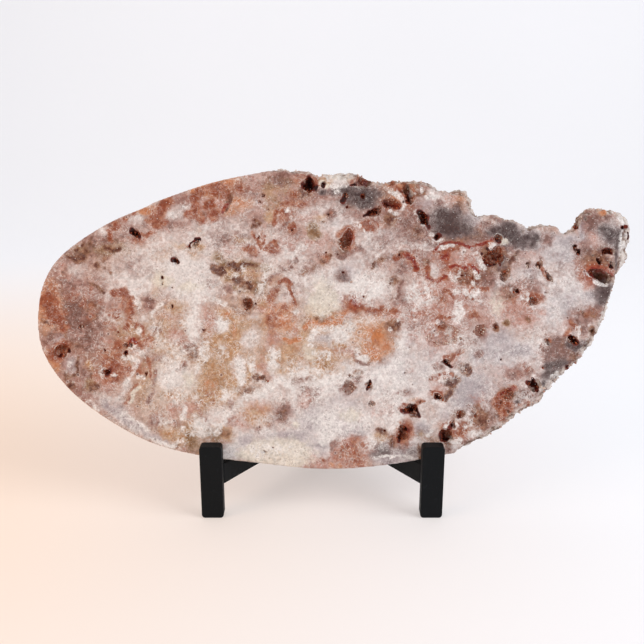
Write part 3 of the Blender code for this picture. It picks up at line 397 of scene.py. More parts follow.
        (85, 166, 21.6, 14.8, 0, 1), (79, 172, 10.8, 8, 0, 0.8), (124, 161, 14.8, 10.8, 0, 0.8),
        (133, 154, 18.8, 13.4, 0, 0.65), (189, 162, 9.4, 6.8, 0, 0.8), (195, 159, 14.8, 8, 0, 0.7),
        (200, 152, 5.4, 10.8, 0, 0.9), (27, 184, 24.2, 13.4, 0, 0.85), (15, 188, 14.8, 5.4, 0, 0.9),
        (29, 179, 16.2, 8, 0, 0.8), (9, 187, 9.4, 5.4, 0, 0.9), (0, 187, 8, 4, 0, 0.7),
        (59, 12, 9.4, 5.4, 0, 0.45), (40, 12, 14.8, 8, 0, 0.6), (35, 9, 8, 5.4, 0, 0.6),
        (83, 167, 22.8, 17.4, 0, 0.75), (95, 162, 16.2, 9.4, -20, 0.7), (133, 156, 24.2, 13.4, -10, 0.5),
        (191, 121, 10.8, 16.2, -20, 0.85), (195, 156, 13.4, 17.4, 0, 0.7), (15, 129, 6, 5.4, 0, 0.5),
        (86, 164, 22.8, 14.8, 0, 0.6), (124, 156, 13.4, 10.8, 0, 0.8), (191, 119, 13.4, 16.2, 0, 1),
        (120, 160, 16.2, 8, 0, 0.8), (87, 160, 22.8, 8, 0, 0.6), (121, 160, 17.4, 8, 0, 0.8),
        (43, 13, 17.4, 8, 0, 0.45),
    ),
    Stain.CREAM: (
        (-107, 127, 12, 10.8, 0, 0.7), (-89, 123, 13.4, 8, 0, 0.6), (-89, 60, 9.4, 12, 0, 0.6),
        (1, 115, 18.8, 18.8, 0, 0.8), (-1, 107, 14.8, 8, 0, 0.45), (-9, 76, 9.4, 12, 0, 0.6),
        (19, 36, 10.8, 8, 0, 0.8), (122.5, 153.5, 4.8, 3.4, 0, 1), (13, 197, 14.8, 5.4, 0, 0.6),
        (-27, 10, 29.6, 16.2, 0, 1), (-19, 5, 16.2, 6.8, 0, 0.8), (-40, 12, 20.2, 10.8, 0, 0.9),
        (-48, 9, 16.2, 5.4, 0, 0.9), (118, 110, 8, 14.8, 0, 0.6),
    ),
    Stain.WHITE: (
        (-68, 97, 6.8, 8.8, -20, 1), (-68, 80, 6.8, 5.4, 0, 0.7), (31, 123, 22.8, 14.8, 20, 0.8),
        (13, 92, 14.8, 9.4, 30, 0.9), (-33, 76, 6.8, 9.4, 0, 1), (-7, 65, 13.4, 6.8, 10, 0.8),
        (5, 60, 26.8, 6.8, 15, 0.8), (89, 129, 4, 6, 30, 1), (67, 118, 16.2, 14.8, 0, 0.8),
        (92, 106, 5.4, 12, 0, 1), (103, 118, 6, 5.4, 0, 1), (105, 113, 5.4, 4, 0, 0.6),
        (76.5, 47, 6, 3.4, 0, 1), (150.5, 85, 4, 3.4, 0, 0.8), (11, 199, 20.2, 5.4, 0, 0.5),
        (5, 27, 14.8, 10.8, 0, 0.7), (-83, 31, 9.4, 8, 0, 1), (-105, 66, 16.2, 20.2, 0, 0.45),
        (-98, 74, 14.8, 14.8, 0, 0.45), (-129, 30, 40.4, 9.4, -28, 0.35), (-61, 51, 16.2, 9.4, 30, 0.45),
        (-75, 29, 17.4, 5.4, 8, 0.55), (-87, 70, 20.2, 10.8, -30, 0.35), (-58, 41, 20.2, 8, 30, 0.4),
        (-120, 80, 17.4, 5.4, 30, 0.3), (-95, 114, 17.4, 8, 0, 0.35), (-99, 140, 26.8, 10.8, 0, 0.35),
        (-78, 123, 17.4, 13.4, 0, 0.4), (-15, 148, 20.2, 9.4, 40, 0.4), (9, 57, 33.6, 9.4, 30, 0.5),
        (-4, 48, 20.2, 8, 25, 0.4), (38, 64, 22.8, 9.4, 30, 0.45), (30, 33, 22.8, 10.8, 0, 0.35),
        (19, 28, 20.2, 9.4, 10, 0.4), (42, 49, 20.2, 10.8, 30, 0.3), (167, 119, 22.8, 10.8, 0, 0.35),
        (206, 156, 4.8, 20.2, -5, 0.8), (39, 53, 40.4, 26.8, 0, 0.3), (73, 66, 33.6, 20.2, 0, 0.3),
        (205, 149, 6.8, 24.2, 0, 1), (-36, 136, 14.8, 12, 0, 0.4), (-141, 102, 16.2, 13.4, 0, 0.4),
        (-89, 101, 17.4, 17.4, 0, 0.5), (30, 101, 26.8, 9.4, 0, 0.35), (-102, 84, 26.8, 12, 0, 0.4),
        (54, 84, 13.4, 13.4, 0, 0.45), (93, 84, 26.8, 12, 0, 0.4), (-18, 66, 16.2, 12, 0, 0.4),
        (51, 66, 17.4, 16.2, 0, 0.6), (86, 66, 20.2, 12, 0, 0.4), (-99, 49, 29.6, 12, 0, 0.45),
        (-28, 49, 29.6, 12, 0, 0.4), (51, 49, 16.2, 12, 0, 0.4), (139, 49, 16.2, 10.8, 0, 0.35),
        (-106, 33, 17.4, 10.8, 0, 0.4), (-42, 34, 40.4, 10.8, 0, 0.35), (48, 33, 13.4, 14.8, 0, 0.5),
        (34, 17, 17.4, 9.4, 0, 0.45), (-87, 92, 6.8, 29.6, 0, 0.5), (-112, 94, 9.4, 20.2, 20, 0.4),
        (5, 33, 33.6, 13.4, 0, 0.4), (-35, 13, 29.6, 9.4, 0, 0.5),
    ),
}

# Thin lines and cracks of the cut face, as rows of Streak.
STREAKS: dict[Stain, tuple] = {
    Stain.MILK: (
        (5.4, 0.7, ((-124, 72), (-129, 63), (-133, 53), (-137, 47))),
    ),
    Stain.GREY: (
        (6, 0.75, ((-146, 44), (-137, 37), (-128, 31), (-117, 24), (-106, 19))),
    ),
    Stain.MAUVE: (
        (5.4, 0.7, ((-172, 146), (-157, 146), (-149, 146), (-144, 143))),
        (4.7, 0.6, ((-90, 74), (-94, 70), (-98, 67))), (3.4, 0.6, ((-85, 44), (-82, 39), (-78, 33))),
        (4, 0.6, ((-111, 66), (-112, 59), (-113, 52), (-116, 45))),
        (2.7, 0.7, ((-35, 127), (-34, 131), (-30, 132))),
        (2.7, 0.8, ((21, 80), (22, 75), (26, 71), (32, 72))), (4, 0.7, ((-19, 58), (-15, 60), (-9, 61))),
        (2.7, 0.7, ((54, 126), (52, 121), (52, 116), (50, 112))),
    ),
    Stain.PINK: (
        (4, 0.7, ((-176, 137), (-173, 134), (-172, 130))), (5.4, 0.7, ((-43, 68), (-39, 67), (-36, 62))),
        (6, 0.7, ((-35, 111), (-28, 110), (-20, 109))), (8.1, 0.7, ((9, 102), (16, 105))),
        (6.7, 0.65, ((30, 105), (39, 103), (48, 105))),
        (8.1, 0.9, ((60, 101), (68, 106), (73, 109), (77, 113), (79, 117))),
    ),
    Stain.OCHRE: (
        (4, 0.6, ((-157, 71), (-155, 68))),
        (6, 0.9, ((-67, 105), (-62, 101), (-59, 96), (-59, 90), (-58, 83))),
        (5.4, 0.8, ((-71, 88), (-66, 88), (-60, 91))), (4.7, 0.8, ((-75, 83), (-71, 84))),
        (6, 0.8, ((-60, 83), (-60, 78), (-62, 75))), (3.4, 0.6, ((-50, 70), (-49, 63), (-50, 58))),
        (3.4, 0.6, ((8, 84), (15, 83))),
    ),
    Stain.OLIVE: (
        (4, 1, ((-67, 137), (-62, 137))), (4, 0.8, ((-55, 137), (-48, 137), (-42, 137), (-38, 135))),
    ),
    Stain.ORANGE: (
        (5.4, 0.6, ((-184, 78), (-180, 72), (-177, 67))), (3.4, 0.45, ((-59, 99), (-59, 90))),
        (2.7, 0.95, ((-26, 88), (-22, 86), (-15, 88))),
        (3.4, 1, (
            (-11, 96), (-9, 100), (-5, 99), (-1, 98), (3, 99), (5, 102), (7, 99), (12, 100), (15, 105),
            (17, 107), (19, 109)
        )),
        (6.7, 0.7, ((-85, 188), (-75, 191), (-67, 192), (-58, 194))),
    ),
    Stain.BROWN: (
        (3.4, 0.6, ((-188, 99), (-183, 99), (-177, 98), (-173, 94), (-172, 90))),
        (4, 0.7, ((-171, 144), (-164, 141), (-159, 143))),
        (2.7, 0.6, ((-156, 125), (-151, 123), (-147, 119))),
        (2, 0.7, ((-164, 75), (-163.5, 68.5), (-164.5, 64), (-169.5, 62), (-173.5, 63))),
        (3.4, 0.55, ((-157, 67), (-155, 62))), (4.7, 0.9, ((-72, 135), (-67, 134))),
        (4.7, 0.85, ((-60, 137), (-56, 135))), (2.4, 0.6, ((-55, 137.5), (-48.5, 137.5), (-41.5, 137))),
        (4.7, 0.85, ((-58, 127), (-51, 125), (-47, 123))),
        (2.7, 0.9, ((-46, 62), (-44, 63), (-42, 61), (-38, 62))),
        (3.4, 0.5, ((-4, 138), (-7, 135), (-11, 133), (-13, 131))),
        (4, 0.8, ((0, 138), (3, 141), (5, 144))), (4, 0.7, ((38, 140), (42, 142))),
        (3.4, 0.6, ((33, 134), (35, 137))), (4, 0.7, ((19, 62), (23, 64), (26, 66))),
        (2.7, 1, ((60, 37), (63, 36))), (5.4, 0.9, ((85, 62), (89, 60), (86, 57))),
        (3.4, 0.9, ((82, 47), (85, 50), (86, 53))),
        (3, 0.9, ((94, 65), (93, 68), (95, 70), (98, 70), (99, 67), (97, 64))),
        (2.7, 0.6, ((175, 107), (179, 103), (184, 102))), (4.7, 0.9, ((161, 70), (166, 72), (171, 74))),
        (2.7, 0.9, ((125, 139), (128, 143), (132, 146))),
        (3, 1, ((-62, 184), (-61, 182), (-63, 178), (-64, 175))),
        (4, 0.85, ((-145, 149), (-141, 147), (-137, 148))),
    ),
    Stain.RUST: (
        (10.8, 0.85, ((-184, 117), (-183, 110), (-180, 105))),
        (8.1, 0.9, ((-183, 104), (-176, 102), (-175, 98))),
        (5.4, 0.9, ((-140, 119), (-135, 119), (-130, 115))),
        (5.4, 0.85, ((-130, 115), (-128, 110), (-129, 106))),
        (2.7, 0.8, ((-144, 106), (-141, 107), (-136, 107), (-136, 103), (-140, 102), (-143, 104))),
        (3.4, 0.7, ((-130, 101), (-132, 95))), (2.7, 0.7, ((-126, 96), (-124, 98), (-121, 96), (-120, 92))),
        (5.4, 0.85, ((-183, 78), (-178, 76), (-175, 78))), (2.7, 0.8, ((-118, 74), (-116, 68), (-116, 63))),
        (2.7, 0.5, ((-124, 58), (-127, 53), (-129, 49), (-132, 44))), (5.4, 0.7, ((-35, 115), (-32, 119))),
        (4, 0.85, ((26, 110), (30, 107), (34, 106), (38, 106), (40, 108), (44, 105), (49, 107))),
        (4, 0.6, ((36, 87), (39, 81))), (3.4, 1, ((50, 142), (52, 144), (55, 145), (58, 144))),
        (4, 0.9, ((56, 144), (60, 142), (62, 139), (64, 135))),
        (2.7, 1, (
            (69, 135), (71, 137), (71, 134), (71, 130), (73, 127), (75, 126), (78, 127), (81, 129),
            (84, 129)
        )),
        (2.7, 1, ((101, 122), (105, 121), (111, 122))),
        (2.7, 0.95, ((77, 101), (79, 103), (83, 102), (86, 102))),
        (2.7, 0.9, ((52, 41), (55, 43), (58, 43))), (2, 0.9, ((62.5, 42.5), (64.5, 45.5), (68.5, 46))),
        (3.4, 0.9, ((83, 75), (87, 76), (91, 78), (94, 79))),
        (3.4, 0.95, ((73, 62), (78, 62), (82, 64), (86, 63))), (2.7, 0.9, ((75, 51), (80, 51))),
        (4, 0.8, ((118, 48), (122, 51), (125, 52), (129, 54))),
        (4.7, 0.95, ((119, 47), (117, 43), (120, 39), (124, 40), (126, 44))),
        (2.4, 0.85, ((147, 136), (149, 133), (151, 130), (153, 127.5))),
        (2.7, 0.7, ((167, 99), (171, 95), (174, 93))), (3.4, 0.5, ((164, 90), (167, 94))),
        (3.4, 0.9, ((134, 44), (138, 45), (139, 43))), (5.4, 0.9, ((125, 43), (124, 39), (122, 34))),
        (4.7, 0.95, ((47, 193), (50, 191), (52, 188), (56, 189), (56, 193))),
        (1.7, 0.95, ((74, 147.5), (82.5, 147.5), (88, 148), (92.5, 148))),
        (3.4, 0.9, ((114, 152), (118, 149), (121, 148))), (3.4, 0.7, ((-30, 174), (-31, 170), (-32, 166))),
        (4, 0.9, ((-38, 148), (-35, 150), (-32, 152))), (4.7, 0.9, ((-86, 181), (-83, 185), (-81, 187))),
        (4, 0.9, ((-78, 177), (-74, 179), (-73, 176), (-73, 172))),
        (4, 0.95, ((-91, 171), (-88, 172), (-85, 174), (-85, 177))),
        (1.7, 0.8, ((-47, 159.5), (-45, 156.5), (-43, 152.5), (-41, 149))),
        (2.7, 0.8, ((-40, 159), (-39, 156), (-40, 152))),
        (2.7, 0.85, ((-142, 162), (-138, 162), (-136, 163))),
        (2.7, 0.8, ((-144, 161), (-142, 158), (-142, 154))),
        (2.4, 0.8, ((-122.5, 158.5), (-118.5, 157), (-115.5, 159.5))),
        (2, 0.7, ((79.5, 119.5), (83.5, 120.5), (87.5, 118), (89.5, 114))),
        (3, 0.9, ((-28, 126), (-26, 127), (-23, 127), (-21, 125))),
        (2, 0.8, ((-23, 125.5), (-21, 122), (-20, 119.5), (-19, 115.5), (-18, 110))),
    ),
    Stain.RED: (
        (2, 0.9, ((-131, 83), (-129, 85.5), (-126.5, 87), (-125, 85))),
        (2.7, 0.9, ((56, 144), (60, 142), (62, 139), (64, 135))),
        (1.7, 0.95, ((86, 136), (91.5, 137), (95.5, 135), (98, 137.5), (102, 137), (105.5, 133.5))),
        (2.4, 0.8, ((119.5, 49.5), (122.5, 51), (125, 52), (129, 54))),
        (4, 1, ((42, 179), (48, 178), (52, 177))),
        (1.7, 0.9, ((76, 149), (79.5, 151.5), (82, 152.5), (86, 152.5), (92.5, 151.5))),
        (1.7, 1, (
            (92.5, 151.5), (97, 151), (99.5, 149.5), (106, 150.5), (111.5, 153), (115.5, 155.5),
            (119.5, 156.5)
        )),
        (3.4, 0.95, ((19, 158), (20, 154))), (2, 0.9, ((-63, 178.5), (-66, 175), (-66.5, 172.5))),
        (1.7, 0.8, (
            (70.5, 134), (70.5, 130), (73, 127.5), (75.5, 126), (78, 126.5), (81.5, 129), (84, 129.5)
        )),
    ),
    Stain.CHARCOAL: (
        (3.4, 0.85, ((198, 146), (198, 140), (198, 135))), (6, 0.8, ((167, 84), (173, 82), (178, 84))),
        (6, 0.8, ((152, 70), (158, 69), (163, 72))), (3.4, 0.8, ((149, 58), (151, 53))),
        (7.4, 0.8, ((137, 156), (144, 156), (142, 151))),
    ),
    Stain.CREAM: (
        (2, 0.8, ((-122.5, 55), (-126.5, 51), (-129, 45.5))),
        (2, 0.6, ((187, 83.5), (179, 71), (166.5, 56))),
        (2, 0.6, ((146.5, 38.5), (127.5, 26.5), (111.5, 17))),
    ),
    Stain.WHITE: (
        (3.4, 0.6, ((-128, 119), (-125, 114), (-124, 109))),
        (2, 0.9, ((-147, 68.5), (-148, 65), (-146.5, 61.5))), (2, 0.8, ((-141, 63), (-137, 61.5))),
        (2, 0.9, ((-133, 75), (-127.5, 75.5), (-125, 73.5))), (2, 0.9, ((-123.5, 62), (-119.5, 61.5))),
        (2.7, 0.7, ((-124, 71), (-128, 64), (-132, 58))), (3.4, 0.7, ((-156, 45), (-151, 40))),
        (2.7, 0.8, ((-133, 37), (-129, 34), (-126, 33), (-121, 29), (-116, 27))),
        (2.7, 0.7, ((-95, 119), (-87, 115), (-79, 117), (-73, 115))),
        (3.4, 0.8, ((-85, 113), (-79, 115), (-71, 114), (-65, 111))),
        (2.7, 0.7, ((-116, 102), (-112, 107), (-108, 111))),
        (3.4, 0.7, ((-38, 131), (-40, 125), (-43, 121))), (4, 0.8, ((-97, 76), (-93, 79))),
        (4, 0.8, ((-78, 84), (-81, 79), (-79, 74))), (4.7, 0.8, ((-82, 72), (-85, 67))),
        (4.7, 0.9, ((-55, 72), (-56, 66), (-54, 59))), (4, 0.8, ((-48, 75), (-47, 68))),
        (4, 0.8, ((-65, 53), (-66, 48))), (4, 0.8, ((-51, 48), (-43, 52), (-35, 55))),
        (3.4, 0.7, ((-101, 66), (-102, 58))), (3.4, 0.8, ((-93, 41), (-94, 35))),
        (2.7, 0.8, ((-90, 51), (-86, 49), (-82, 45))),
        (3.4, 0.9, ((-85, 36), (-83, 29), (-78, 26), (-71, 27), (-67, 31), (-65, 37))),
        (4, 0.95, ((42, 126), (38, 121), (32, 116))), (2.7, 0.95, ((-8, 84), (-7, 90), (-5, 94))),
        (3.4, 0.8, ((-1, 96), (4, 96), (9, 95))), (3.4, 0.9, ((-3, 76), (-1, 78), (4, 78), (5, 75))),
        (2.7, 0.9, ((-6, 80), (-5, 75))), (2.7, 0.95, ((23, 80), (25, 76), (30, 74))),
        (4, 0.8, ((-35, 56), (-28, 60), (-20, 56))), (2.7, 0.8, ((104, 145), (107, 140), (109, 135))),
        (2.4, 1, ((84, 28), (86, 32), (90, 31.5), (90, 28.5))), (2.7, 1, ((172, 94), (173, 90))),
        (1.7, 0.9, ((177.5, 131), (181.5, 127.5), (185.5, 125.5), (191, 124.5))),
        (3.4, 0.95, ((47, 187), (52, 184), (54, 181))), (2.7, 0.95, ((64, 172), (66, 169), (68, 165))),
        (2.4, 0.9, ((73, 157.5), (75.5, 155), (79.5, 155))),
        (1.6, 0.8, ((79.5, 149.5), (84, 150), (88.5, 150))), (3.4, 0.95, ((113, 150), (116, 150))),
        (2.7, 1, ((7, 191), (11, 190), (15, 191), (17, 193))), (2, 0.8, ((74, 26.5), (72, 22))),
        (1.3, 0.8, ((45.5, 8), (51, 9), (56.5, 8.5), (62, 7))), (2.7, 1, ((87, 20), (90, 19), (93, 20))),
        (4, 0.9, ((1, 24), (1, 19), (5, 23))), (1.6, 0.9, ((35, 7), (41.5, 9), (45.5, 10), (48.5, 8.5))),
        (2.7, 0.95, ((-115, 21), (-109, 18), (-103, 15))), (2.7, 0.9, ((-101, 15), (-97, 18), (-93, 20))),
        (4, 1, ((-85, 33), (-85, 28), (-80, 25), (-74, 25), (-69, 28))),
        (3.4, 0.9, ((200, 169), (203, 160), (203, 149), (201, 140))),
        (2.7, 0.8, ((196, 121), (193, 110), (191, 101))),
        (3.4, 0.8, ((191, 105), (185, 87), (177, 75), (169, 62), (157, 52))),
        (3.4, 0.8, ((157, 52), (144, 41), (128, 31), (110, 20), (94, 13))),
        (1.7, 0.8, ((195, 174), (200.5, 170.5), (205, 166.5))),
    ),
    # Painted shade of the cavities and cracks.
    Stain.DARK: (
        (1.8, 1, ((33, 59), (31.5, 55.5), (30, 53.5))), (2, 0.8, ((109, 139.5), (112, 137), (115.5, 138))),
        (3, 1, ((54, 40), (58, 39), (61, 41))), (1.8, 0.9, ((62, 42), (64, 38.5), (65, 35.5))),
        (2, 1, ((83, 72.5), (86, 69.5))), (1.8, 1, ((76.5, 49), (79.5, 48))),
        (3, 1, ((167, 89), (171, 86))), (1.5, 1, ((185.5, 141.5), (187, 138))),
        (2, 1, ((193.5, 137.5), (195.5, 135.5))), (3, 1, ((138, 58), (141, 58), (144, 57))),
        (2.5, 1, ((142, 61), (142, 56))), (2, 1, ((145.5, 55), (145, 52))),
        (2.5, 1, ((58, 185), (58.5, 181))), (1.2, 0.8, ((42.5, 179), (46.5, 178.5), (49, 178.5))),
        (4, 1, ((67, 172), (70, 168))), (2.5, 1, ((69, 168.5), (72, 163.5))),
        (2.5, 1, ((76, 155.5), (78.5, 157.5))), (2, 1, ((117, 154.5), (119.5, 153.5))),
        (3, 1, ((190, 146), (194, 146))), (2.5, 1, ((201.5, 162.5), (205, 163.5))),
        (1.5, 1, ((206.5, 159.5), (207, 156.5))), (1.5, 1, ((170.5, 150.5), (169.5, 148))),
        (1.8, 0.9, ((172.5, 147.5), (172, 145.5))), (3.5, 1, ((-9, 195), (-8, 192))),
        (3, 1, ((-13, 191), (-9, 189), (-5, 190))), (3, 1, ((32, 173), (36, 174))),
        (2, 1, ((29, 171), (33, 172.5))), (2, 1, ((15, 183), (14, 180.5))),
        (1.5, 1, ((19, 191.5), (21.5, 192))), (2, 1, ((0, 192), (0.5, 190.5))),
        (1.5, 1, ((-82.5, 154.5), (-85.5, 155), (-86.5, 152.5), (-88.5, 151.5), (-89, 149))),
        (2, 1, ((-101, 141), (-98, 141), (-97, 139.5))),
        (2.3, 1, ((-127.5, 159.5), (-125, 158.5), (-123, 156.5))), (2, 1, ((56, 27.5), (58, 26))),
        (2.5, 1, ((54, 24), (51.5, 19))), (4.5, 1, ((81, 24), (83, 21))),
    ),
}

# Small round stains of the cut face, as rows of Spots.
SPOTS: dict[Stain, tuple] = {
    Stain.MAUVE: (
        (3.4, 0.8, ((-22, 140), (-18, 141), (-26, 136), (-21, 136))),
    ),
    Stain.OCHRE: (
        (6.7, 0.7, ((-65, 64), (-59, 59), (-56, 53))),
    ),
    Stain.OLIVE: (
        (4, 0.7, ((-58, 122), (-63, 129))), (4, 0.9, ((124, 99),)),
    ),
    Stain.ORANGE: (
        (4, 0.6, ((12, 2), (7, 3))), (4.7, 0.6, ((-73, 56), (-77, 58))),
    ),
    Stain.BROWN: (
        (2.7, 0.9, ((171, 166), (173, 170))),
        (3.4, 0.7, ((-159, 144), (-165, 148), (-156, 153), (-161, 152))),
        (3.4, 0.75, ((64, 185), (69, 186))), (3.4, 0.8, ((139, 101), (-44, 167), (-46, 164), (-42, 165))),
        (3.7, 0.9, ((38, 27),)), (4.7, 0.5, ((-146, 135), (-142, 132))),
        (5.4, 0.6, ((-155, 107), (-153, 103), (-153, 110))),
        (5.4, 0.7, ((-152, 138), (-146, 142), (-159, 146), (-168, 56), (-172, 62))),
    ),
    Stain.RUST: (
        (3, 0.8, ((-127, 172), (-132, 169), (-118, 168))),
        (4, 0.55, ((-161, 111), (-156, 120), (-160, 115), (-149, 113), (-168, 121))),
        (4.7, 0.6, ((-144, 98), (-140, 96))),
    ),
    Stain.CREAM: (
        (3.4, 0.8, ((193, 174), (203, 170))), (3.4, 0.9, ((-1, 193), (3, 191))), (4.7, 0.7, ((-17, 31),)),
    ),
    Stain.WHITE: (
        (2.4, 0.9, ((54, 104.5), (51, 100.5), (46.5, 94), (62.5, 100.5), (62, 108))),
        (2.7, 0.7, ((74, 185), (79, 183), (83, 179), (75, 182))),
        (2.7, 0.8, (
            (-58, 118), (-66, 118), (97, 29), (101, 31), (67, 188), (61, 186), (71, 183), (23, 166),
            (29, 160), (25, 164)
        )),
        (2.7, 0.85, ((56, 178), (54, 176), (46, 174), (49, 172))),
        (2.7, 0.9, (
            (77, 91), (81, 100), (75, 96), (138, 118), (134, 116), (128, 121), (-94, 27), (-91, 25),
            (-87, 24)
        )),
        (2.7, 1, ((103, 133), (102, 126), (92, 131), (105, 130))),
        # The spot at (-23, 174) is a painted highlight.
        (3, 1, ((139, 114), (142, 109), (157, 64), (155, 62), (-23, 174))),
        (3.4, 0.6, ((-58, 131), (-53, 135))), (3.4, 0.7, ((-169, 71), (-100, 171), (-91, 177))),
        (3.4, 0.8, ((-123, 93), (-17, 106), (10, 187))),
        (3.4, 0.9, ((93, 115), (91, 119), (97, 119), (4, 196), (2, 200), (-43, 10), (-46, 13))),
        (3.4, 1, ((74, 94), (86, 94), (79, 99), (85, 91), (93, 88), (87, 85), (95, 147))),
        (4, 0.8, ((-127, 83),)), (4, 1, ((101, 24), (106, 24))),
    ),
    # Painted shade of small cavities.
    Stain.DARK: (
        (2, 0.7, ((114, 146), (117.5, 142), (113, 141.5), (120.5, 144), (119.5, 137))),
        (2, 0.9, ((55, 180), (54, 186.5), (111.5, 148), (108, 145.5))), (2, 1, ((171.5, 163), (27, 184))),
        (2.3, 1, ((131.5, 120),)), (2.5, 0.9, ((166, 69),)), (2.5, 0.95, ((-176, 76.5),)),
        (2.5, 1, ((-131.5, 78.5), (92.5, 35.5), (87.5, 29.5), (86.5, 28.5))), (3, 1, ((-170, 80),)),
        (4, 1, ((-144, 66),)),
    ),
}

